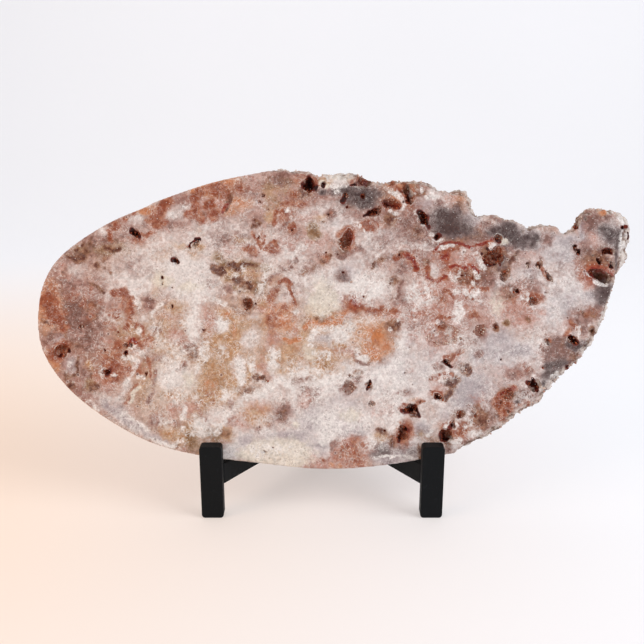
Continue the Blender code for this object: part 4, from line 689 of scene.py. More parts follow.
# Cavities of the cut face that are too small for the solids, as rows of Dent.
DENTS = (
    (-89.5, 149.5, 2.4, 4, 15, 2), (-83, 153.5, 3.4, 2.2, 20, 2), (-107.5, 129, 2.4, 3.6, 0, 2),
    (-107.5, 125, 2.2, 3, 0, 1.6), (-101, 122.5, 2.2, 1.8, 0, 1.4), (-100.5, 109.5, 1.8, 4.4, 0, 1.8),
    (-79.5, 93.5, 3.6, 2.2, 10, 1.6), (-80, 146, 1.4, 1.6, 0, 1), (-56.5, 165.5, 2.2, 1.4, -20, 1),
    (-39.5, 184, 3.4, 2.2, 30, 1.8), (-42, 180, 2.8, 2, 0, 1.6), (-36.5, 175, 2, 2.2, 0, 1.4),
    (-42.5, 156, 2.2, 2.6, 0, 1.5), (1, 192, 3.6, 3.6, 0, 2), (-12, 190.5, 2, 2.4, 0, 1.6),
    (17, 176.5, 2.8, 2, 0, 1.8), (14, 132.5, 2.4, 2.4, 0, 1.6), (19.5, 126.5, 2.2, 1.8, 20, 1.2),
    (28, 116, 2.2, 2.4, 0, 1.4), (29, 135, 2.2, 1.6, -20, 1.2), (34.5, 136, 1.6, 1.6, 0, 1),
    (40.5, 142, 2.2, 1.6, 20, 1.2), (52, 144.5, 2, 2.2, 0, 1.6), (58.5, 82, 2.2, 1.8, 0, 1.2),
    (55.5, 65, 1.8, 2.6, 0, 1.2), (42, 26, 2.6, 3, 0, 1.4), (71.5, 34, 1.8, 2.2, 0, 1.4),
    (66, 45, 3, 1.6, 35, 1.6), (76.5, 157, 2.2, 2, 0, 1.6), (96.5, 67, 2.2, 2.8, 0, 1.6),
    (102, 62, 3, 1.4, 40, 1.2), (86.5, 149, 5.4, 1.4, 0, 0.8), (117, 95.5, 2.2, 3.6, 10, 1.6),
    (123, 98, 2, 2, 0, 1.2), (126.5, 116, 2, 2.6, 0, 1.2), (120.5, 74, 2.6, 1.4, -10, 1.4),
    (133.5, 83.5, 1.4, 1.4, 0, 1), (137, 43, 4, 2, 10, 1.8), (145.5, 53, 2.6, 3.4, -20, 2.4),
    (148.5, 68.5, 2.4, 2.2, 0, 1.6), (150.5, 119, 3, 1.4, 10, 0.9), (154, 117.5, 2, 1.8, -30, 0.9),
    (157.5, 125, 1.8, 2.4, 0, 1), (147, 142, 1.8, 2.6, 0, 1.2), (150.5, 133.5, 1.6, 2.6, -30, 1),
    (167, 68, 3, 3, 0, 2), (156.5, 64, 2.4, 2.6, 0, 1.2), (172.5, 146, 2.6, 3.8, 10, 2.2),
    (177, 168.5, 3.2, 3.4, 0, 2.4), (171.5, 163, 2.2, 2.2, 0, 1.8), (183, 144.5, 2.4, 2.4, 0, 1.2),
    (188.5, 173.5, 2.2, 2.2, 0, 1.4), (199, 133, 2.2, 2, 0, 1.6), (203, 163, 4, 2.2, 15, 2.4),
    (206, 158.5, 1.8, 2.6, 0, 1.6), (134.5, 160.5, 3.4, 2.4, 0, 2), (180, 93, 2, 2.2, 0, 1.2),
    (182.5, 93, 3, 2.6, 20, 1.4), (171.5, 100, 2.6, 2, 0, 1), (162.5, 89, 1.6, 1.6, 0, 0.8),
    (115.5, 58, 1.8, 1.8, 0, 1), (106.5, 78, 2, 1.8, 0, 0.8), (-132, 78, 2, 4.4, 0, 2),
    (-118.5, 64, 2.6, 4, -15, 2.2), (-128.5, 83.5, 2.6, 3.4, 30, 1.4), (-98, 48, 1.4, 1.6, 0, 1.2),
    (-42, 28.5, 2, 2, 0, 1.4), (-38.5, 12, 2.4, 2, 0, 1.6), (-44, 15, 1.6, 1.6, 0, 1),
    (-33, 15, 1.6, 1.4, 0, 1), (-27, 10, 1.6, 1.6, 0, 1), (-51, 14, 1.4, 1.4, 0, 0.9),
    (-22, 13.5, 1.6, 1.6, 0, 0.9), (-35.5, 7.5, 1.6, 1.4, 0, 0.9), (-44.5, 111.5, 2.2, 2.2, 0, 1.4),
    (-51, 107.5, 2.4, 2, 0, 1.2), (-48.5, 60, 2.2, 2, 0, 1.2), (-41, 61.5, 4, 2, 10, 1.4),
    (-37, 59.5, 3, 2, 0, 1.4), (-50, 51.5, 3, 1.8, 10, 1), (-13, 55.5, 3, 1.8, 0, 0.9),
    (23, 61.5, 1.8, 2.4, 0, 1), (25, 77.5, 2.2, 1.8, 0, 1), (30, 74.5, 2.2, 1.6, -30, 1),
    (84.5, 71, 4.4, 1.8, -35, 2.4), (76, 48, 3.6, 2.2, -20, 1.6), (73, 53, 1.6, 1.6, 0, 0.9),
    (84.5, 59.5, 2, 1.8, 0, 1), (75.5, 93.5, 2.2, 2.6, 0, 1.4), (85.5, 94, 2.6, 2, 0, 1.2),
    (78, 86.5, 2.4, 1.8, 0, 1), (93, 88, 2.4, 2.2, 0, 1.2), (87.5, 85.5, 2, 1.6, 0, 1),
    (63.5, 113.5, 1.8, 1.6, 0, 0.9), (70, 118, 1.8, 1.6, 0, 0.9), (97, 115.5, 2.4, 2.2, 0, 1),
    (101.5, 114.5, 1.8, 1.8, 0, 0.9), (94, 130.5, 2.2, 1.8, 0, 1.2), (101, 129, 2, 3.4, 0, 1.4),
    (95, 146.5, 1.8, 1.6, 0, 1), (103, 36, 2.2, 3, 0, 1.4), (106, 32.5, 2.2, 2.4, 0, 1.4),
    (120.5, 45, 2.2, 3, 0, 1.4), (125, 39, 2.2, 2, 0, 1.2), (47.5, 105, 1.6, 1.6, 0, 0.8),
    (43.5, 95, 1.8, 1.6, 0, 0.8), (48, 91, 1.6, 1.8, 0, 0.8), (-32.5, 158.5, 1.8, 1.6, 0, 0.9),
    (-20, 161, 2.4, 3, 0, 1.4), (4.5, 171.5, 2.6, 1.6, 20, 1.4), (0.5, 166.5, 2, 1.8, 0, 1.2),
    (2.5, 145.5, 2.2, 2, 0, 1.4), (10.5, 145, 1.8, 1.8, 0, 1), (-45.5, 167.5, 2.6, 1.8, 0, 1.2),
    (-71.5, 122.5, 1.6, 1.4, 0, 0.8), (-144.5, 120, 1.8, 1.4, 0, 0.9), (-124.5, 131.5, 1.4, 1.4, 0, 0.7),
    (-159.5, 100, 1.8, 1.6, 0, 0.8), (-141.5, 110.5, 1.6, 1.6, 0, 0.8), (-136.5, 92.5, 2.4, 2, 0, 1),
    (-146, 80.5, 1.8, 3.4, 0, 1.2), (-150, 76.5, 1.6, 2.2, 0, 1),
)


def tone(red: int, green: int, blue: int, light: float = LIGHT_LEVEL) -> Colour:
    """Return the colour that shows as a screen tone under a light.

    Args:
        red: The tone's red, from 0 to 255.
        green: Its green.
        blue: Its blue.
        light: How bright the light is, 1 for a plain colour.

    Returns:
        The linear colour with full alpha.
    """
    shares = [channel / SCREEN_WHITE for channel in (red, green, blue)]
    bent = [((share + SRGB_OFFSET) / (1.0 + SRGB_OFFSET)) ** SRGB_POWER for share in shares]
    linear = [share / SRGB_SLOPE if share <= SRGB_KNEE else curve for share, curve in zip(shares, bent)]
    return (*(value / light for value in linear), 1.0)


def polished(red: int, green: int, blue: int) -> Colour:
    """Return the colour that shows as a screen tone under a polish, which adds a little white to it."""
    channels = tone(red, green, blue)[:3]
    return (*(value - min(POLISH_SHEEN, SHEEN_LIMIT * value) for value in channels), 1.0)


def smooth_step(values: np.ndarray, low: float, high: float) -> np.ndarray:
    """Return a soft 0 to 1 step of the values.

    Args:
        values: The values to step.
        low: Where the step leaves 0.
        high: Where it reaches 1.

    Returns:
        The stepped values.
    """
    share = np.clip((values - low) / (high - low), 0.0, 1.0)
    return share * share * (3.0 - 2.0 * share)


def scatter(cells: np.ndarray, seed: int) -> np.ndarray:
    """Return a fixed random number from 0 to 1 for each whole-numbered cell.

    Args:
        cells: The cells, one a row.
        seed: Another seed gives other numbers.

    Returns:
        One number a cell.
    """
    key = np.bitwise_xor.reduce(cells * np.array(CELL_PRIMES), axis=1) ^ (seed * SEED_PRIME)
    key = (key ^ (key >> 13)) * MIX_PRIME
    key = (key ^ (key >> 16)) & HASH_MASK
    return key / float(HASH_MASK)


def lattice_noise(points: np.ndarray, size: float, seed: int) -> np.ndarray:
    """Return smooth noise from -1 to 1.

    Args:
        points: The places, one a row.
        size: The width of the noise's cells.
        seed: Another seed gives another pattern.

    Returns:
        One value a place.
    """
    scaled = points / size
    cell = np.floor(scaled).astype(np.int64)
    fade = smooth_step(scaled - cell, 0.0, 1.0)
    total = np.zeros(len(points))
    for corner in product((0, 1), repeat=3):
        weight = np.prod(np.where(np.array(corner) == 1, fade, 1.0 - fade), axis=1)
        total += weight * scatter(cell + np.array(corner), seed)
    return 2.0 * total - 1.0


def cell_distance(points: np.ndarray, size: float, seed: int) -> np.ndarray:
    """Return the distance to the nearest scattered seed point, in cells.

    Args:
        points: The places, one a row.
        size: The width of a cell.
        seed: Another seed gives another pattern.

    Returns:
        One distance a place, from 0 to about 1.
    """
    scaled = points / size
    cell = np.floor(scaled).astype(np.int64)
    nearest = np.full(len(points), FAR_AWAY)
    for step in product((-1, 0, 1), repeat=3):
        there = cell + np.array(step)
        spot = np.stack([scatter(there, seed + axis) for axis in range(3)], axis=1)
        nearest = np.minimum(nearest, np.linalg.norm(there + spot - scaled, axis=1))
    return nearest


class Ripple(NamedTuple):
    """Smooth noise on the mesh: its height, the width of its cells in metres and its seed."""

    height: float
    size: float
    seed: int

    def at(self, points: np.ndarray, turn: int = 0) -> np.ndarray:
        """Return its height at each point, with other seeds at another turn."""
        return self.height * lattice_noise(points, self.size, self.seed + SEEDS_A_TURN * turn)


class Lumps(NamedTuple):
    """Round lumps on the mesh: their height, the level round them in cells, their width and their seed."""

    height: float
    level: float
    size: float
    seed: int

    def at(self, points: np.ndarray) -> np.ndarray:
        """Return their height at each point."""
        return self.height * (self.level - cell_distance(points, self.size, self.seed))


@dataclass(frozen=True)
class SliceFrame:
    """The slice's own frame: u to the right, w back into the stone, v up along the cut face."""

    lean: float = math.radians(16.8)
    origin: Place = (-0.0090, -0.050804, 0.0326)

    def axes(self) -> np.ndarray:
        """Return the directions of u, w and v in the world, one a row."""
        sine, cosine = math.sin(self.lean), math.cos(self.lean)
        return np.array(((1.0, 0.0, 0.0), (0.0, cosine, -sine), (0.0, sine, cosine)))

    def from_world(self, points: np.ndarray) -> np.ndarray:
        """Return world points in this frame."""
        return (points - np.array(self.origin)) @ self.axes().T

    def to_world(self, points: np.ndarray) -> np.ndarray:
        """Return points of this frame in the world."""
        return points @ self.axes() + np.array(self.origin)


def read_vectors(items: bpy.types.bpy_prop_collection, name: str) -> np.ndarray:
    """Return a vector of every item.

    Args:
        items: The items.
        name: The vector's name.

    Returns:
        The vectors, one a row.
    """
    flat = np.empty(3 * len(items), dtype=np.float32)
    items.foreach_get(name, flat)
    return flat.reshape(-1, 3).astype(np.float64)


def mesh_points(mesh: bpy.types.Mesh) -> np.ndarray:
    """Return the mesh's vertices, one a row."""
    return read_vectors(mesh.vertices, "co")


def mesh_normals(mesh: bpy.types.Mesh) -> np.ndarray:
    """Return the normals of the mesh's vertices, one a row."""
    return read_vectors(mesh.vertex_normals, "vector")


def move_points(mesh: bpy.types.Mesh, points: np.ndarray) -> None:
    """Put the mesh's vertices at these points."""
    mesh.vertices.foreach_set("co", points.astype(np.float32).ravel())
    mesh.update()


def add_values(mesh: bpy.types.Mesh, name: str, values: np.ndarray) -> None:
    """Give the mesh an attribute of one value a vertex."""
    mesh.attributes.new(name, "FLOAT", "POINT").data.foreach_set("value", values.astype(np.float32))


def new_object(name: str, data: bpy.types.ID) -> bpy.types.Object:
    """Make an object of that data in the scene.

    Args:
        name: The object's name.
        data: Its mesh, lamp or camera.

    Returns:
        The object.
    """
    thing = bpy.data.objects.new(name, data)
    bpy.context.scene.collection.objects.link(thing)
    return thing


def applied_mesh(thing: bpy.types.Object, name: str) -> bpy.types.Mesh:
    """Return a new mesh with the object's modifiers applied, and remove the object.

    Args:
        thing: The object with its modifiers.
        name: The new mesh's name.

    Returns:
        The new mesh.
    """
    graph = bpy.context.evaluated_depsgraph_get()
    mesh = bpy.data.meshes.new_from_object(thing.evaluated_get(graph))
    mesh.name = name
    bpy.data.objects.remove(thing, do_unlink=True)
    return mesh


class Noise(NamedTuple):
    """Fractal noise in a material: its cells a metre, detail and warp, and the ends of its soft step."""

    scale: float | Socket
    detail: float
    warp: float = 0.0
    low: float = 0.0
    high: float = 1.0


class Graph:
    """A node tree that is being filled, with short calls for its usual nodes."""

    def __init__(self, tree: bpy.types.NodeTree) -> None:
        """Keep the tree to fill."""
        self.tree = tree

    def feed(self, node: bpy.types.Node, inputs: Inputs) -> bpy.types.Node:
        """Link sockets into a node's inputs, or set plain values on them.

        Args:
            node: The node.
            inputs: The sockets and values, by the names or numbers of the inputs.

        Returns:
            The node.
        """
        for name, value in inputs.items():
            if isinstance(value, bpy.types.NodeSocket):
                self.tree.links.new(value, node.inputs[name])
            else:
                node.inputs[name].default_value = value
        return node

    def add(self, kind: str, inputs: Inputs | None = None, **settings: object) -> bpy.types.Node:
        """Add a node.

        Args:
            kind: The node's type.
            inputs: Sockets and values for its inputs.
            settings: The node's own settings.

        Returns:
            The node.
        """
        node = self.tree.nodes.new(kind)
        for name, value in settings.items():
            setattr(node, name, value)
        return self.feed(node, inputs or {})

    def group(self, tree: bpy.types.NodeTree, inputs: Inputs) -> Sockets:
        """Place a node group and return its outputs."""
        return self.add("ShaderNodeGroup", inputs, node_tree=tree).outputs

    def attribute(self, kind: Enum) -> Socket:
        """Return how much there is of a kind of stain or skin."""
        return self.add("ShaderNodeAttribute", attribute_name=kind.value).outputs["Fac"]

    def maths(self, operation: str, first: object, second: object = 0.0, clamp: bool = False) -> Socket:
        """Return the result of an operation on two values."""
        node = self.add("ShaderNodeMath", {0: first, 1: second}, operation=operation, use_clamp=clamp)
        return node.outputs[0]

    def times(self, *values: object) -> Socket:
        """Return the product of the values."""
        return reduce(partial(self.maths, "MULTIPLY"), values)

    def plus(self, *values: object) -> Socket:
        """Return the sum of the values."""
        return reduce(partial(self.maths, "ADD"), values)

    def minus(self, first: object, second: object, clamp: bool = False) -> Socket:
        """Return the first value less the second."""
        return self.maths("SUBTRACT", first, second, clamp)

    def most(self, *values: object) -> Socket:
        """Return the highest of the values."""
        return reduce(partial(self.maths, "MAXIMUM"), values)

    def between(self, low: float, high: float, share: Socket) -> Socket:
        """Return the value at a share of the way from low to high."""
        return self.plus(low, self.times(share, high - low))

    def vector(self, operation: str, first: object, second: object, output: int = 0) -> Socket:
        """Return the result of an operation on two vectors."""
        return self.add("ShaderNodeVectorMath", {0: first, 1: second}, operation=operation).outputs[output]

    def step(self, value: object, low: object, high: object) -> Socket:
        """Return a soft step of the value from 0 at low to 1 at high."""
        inputs = {"Value": value, "From Min": low, "From Max": high}
        return self.add("ShaderNodeMapRange", inputs, interpolation_type="SMOOTHSTEP").outputs[0]

    def mix(self, share: object, below: object, above: object, blend: str = "MIX") -> Socket:
        """Return two colours mixed by the share of the second."""
        inputs = {0: share, 6: below, 7: above}
        return self.add("ShaderNodeMix", inputs, data_type="RGBA", blend_type=blend).outputs[2]

    def noise(self, place: Socket, look: Noise) -> Socket:
        """Return a noise at a place, mostly from 0.3 to 0.7."""
        inputs = {"Vector": place, "Scale": look.scale, "Detail": look.detail, "Distortion": look.warp}
        return self.add("ShaderNodeTexNoise", inputs).outputs[0]

    def pattern(self, place: Socket, look: Noise) -> Socket:
        """Return a noise at a place, softly stepped from 0 to 1."""
        return self.step(self.noise(place, look), look.low, look.high)

    def swing(self, place: Socket, look: Noise) -> Socket:
        """Return a noise at a place, shifted to lie evenly round 0."""
        return self.minus(self.noise(place, look), NOISE_MIDDLE)

    def ridge(self, place: Socket, look: Noise) -> Socket:
        """Return how far a noise is from its middle, which is 0 along winding lines."""
        return self.maths("ABSOLUTE", self.swing(place, look))

    def relief(self, shader: bpy.types.Node, height: Socket, look: Relief) -> None:
        """Give a shader the relief of a height."""
        bump = self.add("ShaderNodeBump", {"Height": height, "Strength": look[0], "Distance": look[1]})
        self.feed(shader, {"Normal": bump.outputs["Normal"]})


def new_group(
    name: str, inputs: dict[str, float | None], outputs: tuple[str, ...]
) -> tuple[Graph, Sockets, bpy.types.Node]:
    """Start a node group of values.

    Args:
        name: The group's name.
        inputs: Its inputs with their usual values. None makes a vector input.
        outputs: Its value outputs.

    Returns:
        The group's graph, the sockets of its inputs and the node that takes its outputs.
    """
    tree = bpy.data.node_groups.new(name, "ShaderNodeTree")
    for label, value in inputs.items():
        kind = "NodeSocketVector" if value is None else "NodeSocketFloat"
        socket = tree.interface.new_socket(name=label, in_out="INPUT", socket_type=kind)
        if value is not None:
            socket.default_value = value
    for label in outputs:
        tree.interface.new_socket(name=label, in_out="OUTPUT", socket_type="NodeSocketFloat")
    graph = Graph(tree)
    return graph, graph.add("NodeGroupInput").outputs, graph.add("NodeGroupOutput")


@dataclass(frozen=True)
class MineralGrain:
    """The group of a crystalline grain: cells of random brightness, and rare ones picked for painted
    glints.
    """

    usual_size: float = 0.001
    soft_scale: float = 0.45
    soft_detail: float = 3.0
    cell_share: float = 0.5
    # Where the painted glints fall: near the middles of rare cells.
    glint_gap: Step = (0.42, 0.24)
    glint_choice: Step = (0.935, 0.960)

    def tree(self) -> bpy.types.NodeTree:
        """Make the group.

        Returns:
            The group's tree.
        """
        graph, inputs, result = new_group(
            "mineral_grain", {"Place": None, "Size": self.usual_size}, ("Grain", "Glint", "Height")
        )
        place = inputs["Place"]
        scale = graph.maths("DIVIDE", 1.0, inputs["Size"])
        cells = graph.add("ShaderNodeTexVoronoi", {"Vector": place, "Scale": scale}).outputs
        shade = graph.add("ShaderNodeSeparateColor", {"Color": cells["Color"]}).outputs
        soft = graph.noise(place, Noise(graph.times(scale, self.soft_scale), self.soft_detail))
        soft = graph.times(soft, 1.0 - self.cell_share)
        choice = graph.step(shade[1], *self.glint_choice)
        graph.feed(result, {
            "Grain": graph.plus(graph.times(shade[0], self.cell_share), soft),
            "Glint": graph.times(choice, graph.step(cells["Distance"], *self.glint_gap)),
            "Height": graph.minus(shade[0], cells["Distance"]),
        })
        return graph.tree


@dataclass(frozen=True)
class StoneCells:
    """The group of the stone's bent cells: hills in their middles, and the distance to their edges."""

    usual_size: float = 0.0080
    hill: float = 0.5
    bends: tuple[tuple[float, float, float], ...] = ((90.0, 2.0, 0.017), (330.0, 3.0, 0.0055))

    def tree(self) -> bpy.types.NodeTree:
        """Make the group.

        Returns:
            The group's tree.
        """
        graph, inputs, result = new_group(
            "stone_cells", {"Place": None, "Size": self.usual_size}, ("Hill", "Edge", "Pick")
        )
        bent = inputs["Place"]
        for scale, detail, reach in self.bends:
            noise = {"Vector": inputs["Place"], "Scale": scale, "Detail": detail}
            wander = graph.add("ShaderNodeTexNoise", noise).outputs["Color"]
            bent = graph.vector("ADD", bent, graph.vector("MULTIPLY", wander, (reach,) * 3))
        lattice = {"Vector": bent, "Scale": graph.maths("DIVIDE", 1.0, inputs["Size"])}
        cells = graph.add("ShaderNodeTexVoronoi", lattice).outputs
        edges = graph.add("ShaderNodeTexVoronoi", lattice, feature="DISTANCE_TO_EDGE").outputs
        graph.feed(result, {
            "Hill": graph.minus(self.hill, cells["Distance"]),
            "Edge": edges["Distance"],
            "Pick": graph.add("ShaderNodeSeparateColor", {"Color": cells["Color"]}).outputs[0],
        })
        return graph.tree


@dataclass(frozen=True)
class RaggedPatch:
    """The group that breaks a smooth density up into cells and ragged edges."""

    coarse: Noise = Noise(260.0, 4.0, 0.5)
    coarse_share: float = 1.9
    fine: Noise = Noise(850.0, 2.0)
    fine_share: float = 0.5
    calm_density: float = 1.15
    rise: float = 1.9
    edge: float = 0.30
    mottle: Noise = Noise(340.0, 4.0)
    core: Step = (0.22, 0.98)
    line_level: float = 0.40
    line_gap: Step = (0.08, 0.01)
    line_breaks: Noise = Noise(110.0, 3.0, 0.0, 0.47, 0.57)

    def tree(self) -> bpy.types.NodeTree:
        """Make the group.

        Returns:
            The group's tree.
        """
        usual = {
            "Place": None, "Hill": 0.0, "Density": 0.0,
            "Ragged": 0.4, "Softness": 0.2, "Mottle": 2.2, "Offset": 0.0,
        }
        graph, inputs, result = new_group("ragged_patch", usual, ("Mask", "Core", "Line"))
        density, softness = inputs["Density"], inputs["Softness"]
        place = graph.vector("ADD", inputs["Place"], inputs["Offset"])
        swing = graph.plus(
            graph.times(graph.swing(place, self.coarse), self.coarse_share),
            graph.times(graph.swing(place, self.fine), self.fine_share),
            inputs["Hill"],
        )
        calm = graph.times(graph.minus(self.calm_density, density), inputs["Ragged"])
        level = graph.plus(density, graph.times(swing, calm))
        present = graph.maths("MULTIPLY", density, self.rise, clamp=True)
        mask = graph.step(level, graph.minus(self.edge, softness), graph.plus(self.edge, softness))
        mottle = graph.times(graph.swing(place, self.mottle), inputs["Mottle"])
        contour = graph.step(graph.maths("ABSOLUTE", graph.minus(level, self.line_level)), *self.line_gap)
        graph.feed(result, {
            "Mask": graph.times(mask, present),
            "Core": graph.step(graph.plus(level, mottle), *self.core),
            "Line": graph.times(contour, graph.pattern(place, self.line_breaks), present),
        })
        return graph.tree


@dataclass(frozen=True)
class WhiteLace:
    """The group of veins between the cells, which close up into a solid where the density is high."""

    fray: Noise = Noise(420.0, 5.0, 0.4)
    fray_share: float = 0.50
    growth: float = 1.3
    width: float = 0.34
    vein_gap: Step = (0.17, -0.17)
    vein_start: Step = (0.10, 0.40)
    hairs: Noise = Noise(150.0, 6.0, 0.8)
    hair_gap: Step = (0.05, 0.0)
    hair_start: Step = (0.10, 0.5)
    feathers: Noise = Noise(330.0, 5.0, 1.2, 0.34, 0.62)
    faintest: float = 0.35

    def tree(self) -> bpy.types.NodeTree:
        """Make the group.

        Returns:
            The group's tree.
        """
        usual = {"Place": None, "Edge": 0.0, "Density": 0.0}
        graph, inputs, result = new_group("white_lace", usual, ("Mask",))
        place, density = inputs["Place"], inputs["Density"]
        gap = graph.plus(inputs["Edge"], graph.times(graph.swing(place, self.fray), self.fray_share))
        width = graph.times(graph.maths("POWER", density, self.growth), self.width)
        veins = graph.times(
            graph.step(graph.minus(gap, width), *self.vein_gap),
            graph.step(density, *self.vein_start),
            graph.between(self.faintest, 1.0, graph.pattern(place, self.feathers)),
        )
        hair = graph.step(graph.ridge(place, self.hairs), *self.hair_gap)
        hair = graph.times(hair, graph.step(density, *self.hair_start))
        graph.feed(result, {"Mask": graph.most(veins, hair)})
        return graph.tree


@dataclass(frozen=True)
class Effects:
    """The node groups that the finishes share."""

    grain: bpy.types.NodeTree
    ragged: bpy.types.NodeTree
    lace: bpy.types.NodeTree
    cells: bpy.types.NodeTree


def new_material(name: str) -> tuple[bpy.types.Material, Graph, bpy.types.Node, Socket]:
    """Start a material.

    Args:
        name: The material's name.

    Returns:
        The material, its graph, its Principled shader and the place on the object.
    """
    material = bpy.data.materials.new(name)
    material.use_nodes = True
    graph = Graph(material.node_tree)
    place = graph.add("ShaderNodeTexCoord").outputs["Object"]
    return material, graph, material.node_tree.nodes["Principled BSDF"], place


@dataclass(frozen=True)
class StainLook:
    """How one kind of stain looks: its tones at the edge and in the core, its edge and its outline."""

    edge: tuple[int, int, int]
    core: tuple[int, int, int]
    softness: float
    ragged: float
    opacity: float = 1.0
    line: tuple[int, int, int] = (120, 60, 40)
    outline: float = 0.0
    mottle: float = 2.2


STAIN_LOOKS = {
    Stain.ROSE: StainLook((190, 150, 140), (160, 112, 100), 0.40, 0.40, 0.85, mottle=1.6),
    Stain.SAND: StainLook((208, 174, 146), (186, 142, 106), 0.40, 0.40, 0.85, mottle=1.6),
    Stain.MILK: StainLook((223, 204, 198), (247, 239, 236), 0.28, 0.60, 0.86),
    Stain.GREY: StainLook((208, 196, 197), (170, 157, 161), 0.36, 0.35, 0.82, mottle=1.4),
    Stain.MAUVE: StainLook((180, 140, 130), (130, 90, 80), 0.24, 0.75, 0.92, (116, 74, 64), 0.4),
    Stain.PINK: StainLook((213, 176, 166), (192, 138, 122), 0.32, 0.60, 0.90, (172, 100, 82), 0.5),
    Stain.OCHRE: StainLook((212, 176, 144), (186, 136, 96), 0.30, 0.55, 0.90, (174, 108, 66), 0.5, 1.6),
    Stain.OLIVE: StainLook((184, 150, 118), (136, 98, 64), 0.24, 0.65, 0.88, (98, 66, 46), 0.4),
    Stain.ORANGE: StainLook((216, 166, 134), (206, 130, 86), 0.38, 0.40, 0.90, mottle=1.2),
    Stain.BROWN: StainLook((166, 122, 98), (104, 62, 42), 0.22, 0.70, 0.95, (86, 48, 36), 0.4),
    Stain.RUST: StainLook((188, 130, 104), (150, 80, 54), 0.24, 0.75, 0.94, (138, 62, 42), 0.5),
    Stain.RED: StainLook((174, 98, 74), (142, 60, 42), 0.20, 0.45, 1.00),
    Stain.CHARCOAL: StainLook((150, 132, 130), (84, 68, 67), 0.44, 0.28, 0.94, mottle=0.9),
    Stain.CREAM: StainLook((230, 217, 202), (245, 235, 220), 0.22, 0.75, 0.85),
}
# The painted shade of the cavities, in dark red-brown.
CAVITY_SHADE_LOOK = StainLook((124, 60, 41), (64, 25, 17), 0.14, 0.35, 1.00)


